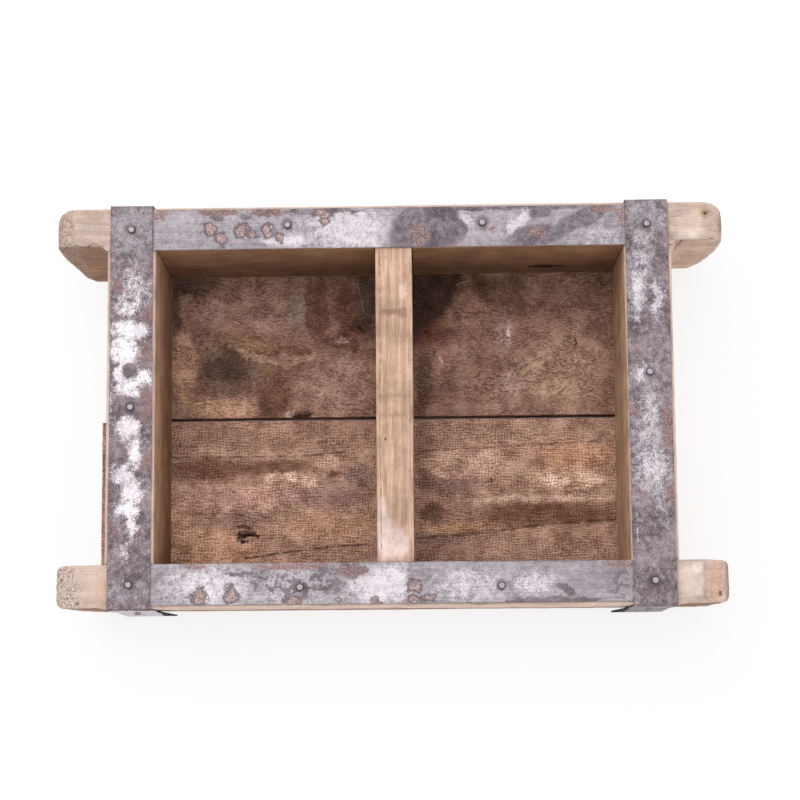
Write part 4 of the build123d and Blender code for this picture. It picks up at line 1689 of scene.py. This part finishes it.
REAR_PLANK_STAINS = (
    *stains(shade(178, 138, 112), 0.75, Spot(-148, 40, 8, 28), Spot(-118, 9, 26, 8)),
    *stains(shade(160, 125, 110), 0.7, Spot(-38, 28, 23, 23), Spot(-92, 76, 22, 13), Spot(-128, 76, 14, 12)),
    *stains(shade(150, 110, 80), 0.45, Spot(-102, 56, 20, 5, -12)),
    *stains(shade(64, 47, 41), 0.85, Spot(-116, 38, 19, 15, edge=0.6)),
    *stains(shade(98, 66, 48), 0.75, Spot(-84, 20, 12, 20), Spot(-69, 50, 13, 4, -15)),
    *stains(shade(176, 140, 116), 0.7, Spot(-97, 46, 16, 3, -20), Spot(-64, 43, 14, 3, 20)),
    # Painted shadow: the left cell's floor is darkened along the rear rail, the left board and the divider.
    *stains(shade(74, 56, 50), 0.8, Spot(-142, 98, 19, 8), Spot(-155, 82, 4, 20), Spot(-19, 84, 9, 24)),
    *stains(shade(140, 120, 112), 0.65, Spot(-68, 80, 7, 14)),
    *stains(shade(100, 62, 50), 0.75, Spot(-51, 76, 5, 27), Spot(-33, 74, 8, 22), Spot(-27, 54, 4, 6)),
    *stains(shade(86, 58, 48), 0.6, Spot(-58, 84, 3, 22), Spot(-40, 58, 10, 5)),
    *stains(shade(130, 98, 88), 0.6, Spot(-41, 82, 4, 18)),
    *stains(shade(70, 45, 36), 0.8, Spot(-22, 67, 7, 6)),
    *stains(shade(188, 158, 142), 0.7, Spot(-73, 5, 5, 3), Spot(-35, 58, 5, 2.5)),
    *stains(shade(166, 133, 112), 0.8, Spot(126, 34, 30, 34, edge=0.5)),
    *stains(shade(158, 120, 104), 0.7, Spot(77, 13, 15, 11), Spot(41, 43, 18, 7, 35)),
    # Painted shadow: the divider and the rear rail shade the rear left corner of the right cell.
    *stains(shade(50, 31, 25), 0.92, Spot(23, 90, 52, 21, 57.5, edge=0.22)),
    *stains(shade(150, 110, 96), 0.5, Spot(54, 76, 25, 3.5, 74), Spot(34, 54, 13, 3, 34)),
    # Painted shadow along the divider in the right cell.
    *stains(shade(90, 68, 63), 0.7, Spot(23, 27, 6.5, 24)),
    # Painted shadow along the rear rail in the right cell.
    *stains(shade(88, 60, 47), 0.75, Spot(80, 92, 19, 12), Spot(60, 98, 9, 7)),
    *stains(shade(96, 56, 42), 0.7, Spot(30, 61, 13, 9, 20)),
    *stains(shade(160, 132, 120), 0.65, Spot(80, 60, 6, 14), Spot(84, 26, 6, 16)),
    *stains(shade(210, 186, 170), 0.8, Spot(83, 61, 1.2, 5), Spot(36, 41, 1, 2.5)),
    *stains(BLACK_HOLE, 0.9, Spot(-21, 66, 2, 2), Spot(-64, 3.5, 7, 2.2), Spot(130, 55, 0.6, 6), Spot(29, 80, 1.3, 1.3)),
)
REAR_PLANK_CRACKS = (
    Crack(shade(176, 150, 136), 0.5, 0.6, ((-25, 99), (-22, 89), (-20, 78))),
    Crack(shade(66, 46, 38), 0.5, 0.7, ((113, 81), (136, 78.5), (157, 74))),
    Crack(shade(200, 172, 154), 0.4, 0.7, ((114, 33), (136, 35.5), (156, 36))),
    Crack(shade(180, 150, 132), 0.5, 0.5, ((46, 96), (56, 100))),
)
FRONT_PLANK_STAINS = (
    *stains(shade(148, 111, 93), 0.6, Zone((-156, -19, 12), (-10, 0, 16), 2)),
    *stains(shade(204, 158, 130), 0.75, Spot(-128, -92, 32, 14), Spot(-150, -70, 8, 16)),
    *stains(shade(192, 150, 134), 0.75, Spot(-131, -55, 26, 12), Spot(-88, -54, 19, 9)),
    *stains(shade(112, 74, 55), 0.8, Spot(-131, -35, 26, 8.5), Spot(-80, -33, 26, 5)),
    *stains(shade(128, 100, 94), 0.6, Spot(-46, -56, 29, 7), Spot(-101, -71, 19, 4)),
    *stains(shade(182, 141, 114), 0.65, Spot(-52, -77, 36, 10)),
    *stains(shade(200, 162, 142), 0.7, Spot(-47, -30, 8.5, 5)),
    *stains(shade(126, 106, 100), 0.6, Spot(-23, -41, 10, 8.5)),
    *stains(shade(222, 184, 160), 0.8, Spot(-83, -41, 6.5, 3.5), Spot(-72, -41, 4.5, 4.5), Spot(-60, -44, 5.5, 5.5)),
    *stains(shade(96, 62, 46), 0.8, Spot(-42, -39, 4, 3)),
    *stains(shade(100, 74, 62), 0.6, Spot(22, -27, 6.5, 27)),
    *stains(shade(204, 165, 144), 0.7, Spot(51, -33, 30, 9.5)),
    *stains(shade(120, 92, 86), 0.65, Spot(40, -48, 20, 6.5)),
    *stains(shade(190, 144, 112), 0.7, Spot(129, -27, 26, 10)),
    *stains(shade(202, 162, 140), 0.6, Spot(127, -42, 28, 8.5)),
    *stains(shade(224, 190, 166), 0.8, Spot(115, -45, 10, 5.5), Spot(140, -44, 8.5, 5)),
    *stains(shade(208, 174, 154), 0.6, Spot(107, -58, 49, 2.5)),
    *stains(shade(106, 70, 50), 0.85, Spot(106, -69, 52, 8)),
    *stains(shade(84, 60, 50), 0.7, Spot(28, -67, 8, 6.5)),
    *stains(shade(192, 149, 111), 0.65, Spot(45, -78, 24.5, 3)),
    *stains(shade(132, 108, 98), 0.6, Spot(34, -86, 18.5, 5)),
    *stains(BLACK_HOLE, 1, Spot(-103, -82, 6.5, 3, edge=0.2)),
    *stains(DARK_CRACK, 0.8, Spot(-106, -77, 7.5, 1), Spot(69, -46, 1.3, 1.3)),
)
FRONT_PLANK_CRACKS = (
    Crack(shade(196, 160, 142), 0.5, 0.8, ((-156, -24.6), (-66, -24.6), (-34, -21.6))),
    Crack(shade(74, 52, 42), 0.7, 0.8, ((-156, -26), (-66, -26), (-34, -23))),
    Crack(shade(80, 58, 48), 0.6, 0.6, ((-139, -66), (-107, -67))),
    Crack(shade(72, 48, 38), 0.85, 1, ((-104, -98), (-75, -94), (-42, -90), (-15, -89))),
    Crack(shade(84, 60, 48), 0.6, 0.8, ((16, -23), (68, -21), (102, -19), (156, -17))),
    Crack(shade(70, 48, 38), 0.8, 1, ((16, -85), (58, -82), (97, -77), (156, -73))),
)

LEFT_STRAP_BLOOM = (
    Veil(-173, 51, 11.5, 6), Veil(-177, 37, 8.5, 11), Veil(-180, 21, 4, 8), Veil(-174, 12, 8.5, 6),
    Veil(-164, 19, 6.5, 5.5), Veil(-174, -15, 7.5, 8), Veil(-170, -31, 4.5, 10), Veil(-178, -46, 7.5, 6.5),
    Veil(-172, -57, 7, 9.5), Veil(-174, -70, 8, 5.5), Veil(-171, -80, 3.5, 7.5),
    Veil(-175, -98, 3.5, 8.5, strength=0.55), Veil(-172, 78, 12, 15, strength=0.5),
    # The last veil here is a painted highlight on the strap's outer edge, partly bloom.
    Veil(-175, 66, 9.5, 7, strength=0.65), Veil(-187, 0, 0.8, 20, strength=0.45),
)
LEFT_STRAP_SCALE = (
    Spot(-174, 24, 4, 5.5), Spot(-176, 0, 9.5, 6.5), Spot(-179, -33, 5.5, 6.5), Spot(-182, 81, 4, 5),
    Spot(-185, -58, 2.5, 7.5),
)
LEFT_STRAP_RED = (
    Veil(-162, 60, 3.5, 6), Veil(-163, 35, 3.5, 7), Veil(-163, 6, 3.5, 6), Veil(-163, -6, 3.5, 4.5),
    Veil(-162, -37, 3.5, 6), Veil(-166, -86, 2, 2), Veil(-182, -84, 2, 2), Veil(-182, 81, 3, 4),
)
LEFT_STRAP_STEEL = (Veil(-174, 118, 15, 18), Veil(-172, -123, 13, 6.5))
RIGHT_STRAP_BLOOM = (
    Veil(167, 72, 5, 17, strength=0.85), Veil(169, 95, 5.5, 14, strength=0.45),
    Veil(178.5, 68, 4.5, 12, strength=0.75), Veil(167, 19, 6, 6.5, strength=0.62),
    Veil(172, -6, 6.5, 15, strength=0.5), Veil(171, -26, 6, 12, strength=0.4),
    Veil(173, -43, 11.5, 13, strength=0.62), Veil(177, -62, 6, 10, strength=0.3),
    Veil(162, -87, 1, 14, strength=0.5),
)
RIGHT_STRAP_STEEL = (
    Veil(172, 125, 12, 15), Veil(170, 95, 9, 24, strength=0.9), Veil(167, 70, 6, 16, strength=0.8),
    Veil(178, 67, 6, 15, strength=0.8), Veil(170, 19, 9, 9, strength=0.8), Veil(173, -5, 7, 16),
    Veil(172, -35, 12, 26), Veil(178, -67, 7, 12, strength=0.7), Veil(183, -83, 3.5, 9, strength=0.6),
)
RIGHT_STRAP_SCALE = (
    Spot(177, 89, 2, 3.5), Spot(184, 85, 3.5, 3.5), Spot(175, 69, 2.5, 5.5), Spot(171, 57, 4, 4),
    Spot(172, 40, 9.5, 5.5),
)
RIGHT_STRAP_RED = (
    Veil(183, -19, 3.5, 14.5), Veil(184, -62, 2.5, 6.5), Veil(163, -7, 2.5, 3.5), Veil(164, -60, 1.5, 2.5),
)
REAR_STRAP_BLOOM = (
    Veil(-26, 118, 28, 14, strength=0.85), Veil(-66, 111, 20, 3.5, strength=0.8),
    Veil(51, 123, 6, 7.5, strength=0.8), Veil(88, 122, 11.5, 4, 45, strength=0.85),
    Veil(142, 114, 18.5, 8, strength=0.35),
)
REAR_STRAP_SCALE = (
    Spot(24, 119, 26, 18, 35, edge=0.25), Spot(40, 116, 14, 10), Spot(102, 128, 8, 4),
    Spot(98, 112, 20, 7.5, 8), Spot(130, 124, 21, 6, 24), Spot(-115, 127, 4.5, 2), Spot(-97, 128, 3.5, 2),
    Spot(36, 110, 4.5, 2.5), Spot(-114, 131, 13.5, 2.4), Spot(-80, 130, 13, 2.4), Spot(-44, 131, 30, 1.8),
    Spot(75, 132, 60, 1.6),
)
REAR_STRAP_RUST = (
    Spot(-120, 119, 4.5, 3.5), Spot(-113, 113, 4, 4.5), Spot(-99, 118, 4.5, 5), Spot(-82, 119, 3.5, 4.5),
    Spot(-74, 114, 3, 4), Spot(-44, 130, 6.5, 3.5), Spot(-43, 124, 3.5, 3), Spot(-92, 115, 2.5, 2),
)
REAR_STRAP_RED = (
    Spot(-114, 130.5, 13, 2.6), Spot(-80, 130.5, 12, 2.6), Spot(-154, 129, 5, 4), Spot(145, 130, 10.5, 2),
    Spot(157, 126, 3, 6), Spot(21, 115, 5.5, 7.5), Spot(44, 107, 2, 1.5), Spot(100, 115, 5.5, 4),
    Spot(70, 118, 2.5, 2),
)
FRONT_STRAP_BLOOM = (
    Veil(-121, -120, 27.5, 12, strength=0.75), Veil(-10, -121, 18.5, 11, strength=0.95),
    Veil(4, -120, 8, 12), Veil(50, -121, 22.5, 11, strength=0.6), Veil(94, -120, 14.5, 8, strength=0.62),
    Veil(-64, -121, 32, 12, strength=0.6),
)
FRONT_STRAP_SCALE = (
    Spot(-80, -117, 14, 10, strength=0.5), Spot(-62, -121, 16, 11, strength=0.55),
    Spot(-42, -117, 15, 11, strength=0.6), Spot(107, -132, 32.5, 3), Spot(114, -124, 8, 2.5, -25),
    Spot(-26, -111, 11, 5), Spot(150, -120, 9, 12, strength=0.55), Spot(-100, -113, 12, 1.6, strength=0.7),
)
FRONT_STRAP_RUST = (
    Spot(-126, -128, 6, 5), Spot(-105, -127, 5, 6), Spot(15, -122, 4.5, 4.5), Spot(15, -130, 4, 2.5),
    Spot(24, -130, 4.5, 2.5), Spot(-10, -131, 3.5, 2), Spot(-65, -130, 6, 2.5), Spot(-34, -130, 2.5, 2),
)
FRONT_STRAP_RED = (
    Spot(-129, -108, 7.5, 2), Spot(-26, -112, 11, 5, strength=0.6), Spot(-66, -108, 26.5, 2),
    Spot(150, -108, 10, 3),
)

REAR_NOSE = (
    (9, 90), (5, 88.6), (2.2, 85.6), (0.6, 81.5), (0, 76), (0.4, 66), (2.4, 52), (5.5, 36),
    (9, 22), (12, 16.5), (16, 14),
)
FRONT_NOSE = (
    (9, 90), (5, 88.4), (2.4, 85), (0.9, 80), (0.1, 73), (0, 64), (0, 44), (1.5, 31),
    (4.5, 22), (9, 16.5), (15, 14),
)


# The nails' places

STRAP_NAILS = {
    "left_end_strap": (Seat(-172.85, 119.25, 93.0), Seat(-172.85, -1.0, 91.5), Seat(-172.85, -119.25, 93.0)),
    "right_end_strap": (Seat(172.85, 119.25, 93.0), Seat(172.85, 19.0, 91.5), Seat(172.85, -119.25, 93.0)),
    "rear_rail_strap": (Seat(-68.0, 121.75, 91.5), Seat(63.0, 121.75, 91.5)),
    "front_rail_strap": (Seat(-60.0, -121.75, 91.5), Seat(72.5, -121.75, 91.5)),
}
LUG_NAIL_X = {"left": -172.85, "right": 172.85}
LUG_NAIL_Y = 136.75
LUG_NAIL_Z = 56.0
FRAME_NAILS = {
    "left_corner": ((-181.0, 68.0), (-165.0, 36.0)),
    "right_corner": ((165.5, 68.0), (181.5, 36.0)),
    "divider": ((3.0, 68.0), (3.0, 36.0)),
}
FRAME_NAIL_Y = 133.65
FLOOR_NAIL_Z = 1.6
FLOOR_NAILS = (
    (-173.0, 120.25), (-121.0, 120.25), (-45.0, 120.25), (48.5, 120.25), (124.5, 120.25), (173.5, 120.25),
    (-173.0, 46.0), (3.0, 46.0), (173.5, 46.0),
)


def nail_groups() -> list[NailGroup]:
    """Every group of nails on the mould."""
    groups = [NailGroup(f"{strap}_nails", True, 30.0, seats) for strap, seats in STRAP_NAILS.items()]
    for end, x in LUG_NAIL_X.items():
        rear = Seat(x, LUG_NAIL_Y, LUG_NAIL_Z, Drive.FROM_REAR)
        front = Seat(x, -LUG_NAIL_Y, LUG_NAIL_Z, Drive.FROM_FRONT)
        groups.append(NailGroup(f"{end}_lug_nails", True, 24.0, (front, rear)))
    for rail, side, drive in (("rear", 1, Drive.FROM_REAR), ("front", -1, Drive.FROM_FRONT)):
        for joint, places in FRAME_NAILS.items():
            seats = tuple(Seat(x, side * FRAME_NAIL_Y, z, drive) for x, z in places)
            groups.append(NailGroup(f"{rail}_{joint}_nails", False, 65.0, seats))
        seats = tuple(Seat(x, side * y, FLOOR_NAIL_Z, Drive.UP) for x, y in FLOOR_NAILS)
        groups.append(NailGroup(f"{rail}_floor_nails", False, 38.0, seats))
    return groups


def board_finish(node: str, **options: object) -> BoardFinish:
    """The finish of one board of the frame, with its own corners.

    Args:
        node: the board's node.
        options: the other fields of the finish.

    Returns:
        The finish.
    """
    low, high = (Vector(corner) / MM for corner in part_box(node))
    return BoardFinish(node.replace("_", " ").title() + " Wood", low, high, **options)


def strap_finish(node: str, **options: object) -> IronFinish:
    """The finish of one strap, with its own corners and the places of its nails."""
    low, high = (Vector(corner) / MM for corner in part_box(node))
    nails = tuple((seat.x, seat.y) for seat in STRAP_NAILS[node])
    return IronFinish(node.replace("_", " ").title() + " Iron", low, high, nails=nails, **options)


def build_frame(effects: Effects) -> None:
    """Builds the rails, the end boards and the divider."""
    recesses = tuple(place for places in FRAME_NAILS.values() for place in places)
    rear = Rail(
        "rear_rail", 14.0, 4.0, REAR_NOSE, left_lean=2.8, right_lean=1.1, handle_cuts=(3.0, 2.5),
        handle_feet=(2.0, -1.0), recesses=recesses,
        hollows=((Spot(213, 127, 2.2, 1.8), 1.6), (Spot(215, 108, 3, 1.6, 30), 1.2), (Spot(-211, 109, 3, 1.4), 1.0)),
    )
    front = Rail("front_rail", 9.0, 8.0, FRONT_NOSE, recesses=recesses, hollows=((Spot(216, -128, 2, 2), 1.2),))
    grain = Grain.ALONG
    hand_in(rear.build(), board_finish(
        "rear_rail", grain=grain, pith=(0.0, 150.0, 10.0), cracks=REAR_RAIL_CRACKS, ring_share=0.12,
        nose_length=12.0, torn=(0.85, 0.2), nose_pale=shade(214, 192, 174),
        top_stains=REAR_RAIL_TOPS, side_stains=REAR_RAIL_SIDES,
    ).build(effects), "rear_rail")
    hand_in(front.build(), board_finish(
        "front_rail", grain=grain, pith=(0.0, -100.0, 160.0), top_stains=FRONT_RAIL_TOPS,
        side_stains=FRONT_RAIL_SIDES, torn=(0.9, 0.3), ring_share=0.15,
    ).build(effects), "front_rail")
    for node, worn_side, pith, marks in (
        ("left_end_board", 1, (0.0, -210.0, 60.0), LEFT_BOARD_SIDES),
        ("right_end_board", -1, (0.0, 120.0, 40.0), RIGHT_BOARD_SIDES),
    ):
        board = CrossBoard(node, worn_side, -worn_side, shift=7.0 * worn_side).build()
        finish = board_finish(node, grain=Grain.ACROSS, pith=pith, side_stains=marks)
        hand_in(board, finish.build(effects), node)
    divider = CrossBoard("divider", -1, shift=3.0).build()
    finish = board_finish(
        "divider", grain=Grain.ACROSS, pith=(0.0, -30.0, 40.0), top_pale=shade(222, 186, 162),
        top_deep=shade(176, 138, 116), ring_share=0.12, top_stains=DIVIDER_TOPS, side_stains=DIVIDER_SIDES,
        cracks=DIVIDER_CRACKS,
    )
    hand_in(divider, finish.build(effects), "divider")


def build_floor(effects: Effects) -> None:
    """Builds the two floor planks."""
    for side, node, hollows, finish in (
        (1, "rear_floor_board", ((Spot(-64, 3, 7, 3), 3.5), (Spot(-21, 66, 2.4, 2.4), 1.2)), PlankFinish(
            "Rear Plank Wood", shade(136, 103, 87), shade(150, 114, 92), fibre=0.9, curl=0.8, saw=0.0, grit=0.7,
            swirl=40.0, stains=REAR_PLANK_STAINS, cracks=REAR_PLANK_CRACKS,
        )),
        (-1, "front_floor_board", ((Spot(-103, -82, 7, 3.4), 5.0), (Spot(-106, -77, 8, 1.6), 1.2)), PlankFinish(
            "Front Plank Wood", shade(164, 128, 109), shade(162, 124, 100), fibre=0.7, curl=0.25, saw=0.85, grit=1.0,
            swirl=6.0, stains=FRONT_PLANK_STAINS, cracks=FRONT_PLANK_CRACKS,
        )),
    ):
        places = tuple((x, side * y) for x, y in FLOOR_NAILS)
        plank = Plank(node, shift=9.0 * side, hollows=hollows, recesses=places).build()
        hand_in(plank, finish.build(effects), node)


def build_straps(effects: Effects) -> None:
    """Builds the four straps."""
    # Painted shade: near-black patches where the lug ends stand off the front rail.
    lug_gaps = tuple(
        Zone((left, -140.0, 10.0), (left + 10.0, -134.0, 60.0), 1.0) for left in (-160.0, 150.0)
    )
    # Painted light, partly bloom and bare steel: the front faces of the lugs are painted pale.
    lugs = (Zone((-190.0, -140.0, 10.0), (190.0, -134.4, 90.0), 0.8),)
    finishes = (
        (RailStrap("rear_rail_strap", shift=2.0), strap_finish(
            "rear_rail_strap", grain=Grain.ALONG, brushed=0.7, evenness=1.8, steel_ground=1.0, steel_glow=1.2,
            bloom_glow=0.95, red_deep=shade(86, 66, 70), red_tone=shade(180, 148, 140),
            scale_dark=shade(86, 75, 84), scale_pale=shade(150, 138, 146),
            bloom=REAR_STRAP_BLOOM, scale=REAR_STRAP_SCALE, red_scale=REAR_STRAP_RED, rust=REAR_STRAP_RUST,
        )),
        (RailStrap("front_rail_strap", shift=20.0), strap_finish(
            "front_rail_strap", grain=Grain.ALONG, brushed=0.7, evenness=1.8, steel_ground=1.0, steel_glow=1.25,
            bloom_glow=1.05, scale_break=(0.1, 0.3, 0.45, 0.65), scale_pale=shade(146, 134, 142),
            bloom=FRONT_STRAP_BLOOM, scale=FRONT_STRAP_SCALE, red_scale=FRONT_STRAP_RED,
            rust=FRONT_STRAP_RUST,
        )),
        (EndStrap("left_end_strap", shift=31.0), strap_finish(
            "left_end_strap", grain=Grain.ACROSS, steel_ground=0.2, steel_glow=0.92, bloom_glow=1.17, steel=LEFT_STRAP_STEEL,
            bloom=LEFT_STRAP_BLOOM + lugs, scale=LEFT_STRAP_SCALE, red_scale=LEFT_STRAP_RED, black=lug_gaps,
        )),
        (EndStrap("right_end_strap", shift=44.0), strap_finish(
            "right_end_strap", grain=Grain.ACROSS, steel_ground=0.2, bloom_glow=0.95,
            steel=RIGHT_STRAP_STEEL + lugs, bloom=RIGHT_STRAP_BLOOM, scale=RIGHT_STRAP_SCALE,
            red_scale=RIGHT_STRAP_RED, black=lug_gaps,
        )),
    )
    for strap, finish in finishes:
        hand_in(strap.build(), finish.build(effects), strap.node)


def build_nails(effects: Effects) -> None:
    """Builds every group of nails."""
    iron = NailFinish("Nail Iron").build(effects)
    pale_iron = NailFinish("Lug Nail Iron", dark=shade(158, 146, 148)).build(effects)
    for group in nail_groups():
        finish = pale_iron if "lug" in group.node else iron
        hand_in(group.build(), finish, group.node)


def main() -> None:
    """Builds the studio and every piece of the mould."""
    logging.basicConfig(level=logging.INFO, format="%(name)s: %(message)s")
    effects = Effects()
    Studio().build(effects)
    build_frame(effects)
    build_floor(effects)
    build_straps(effects)
    build_nails(effects)


if __name__ == "__main__":
    main()
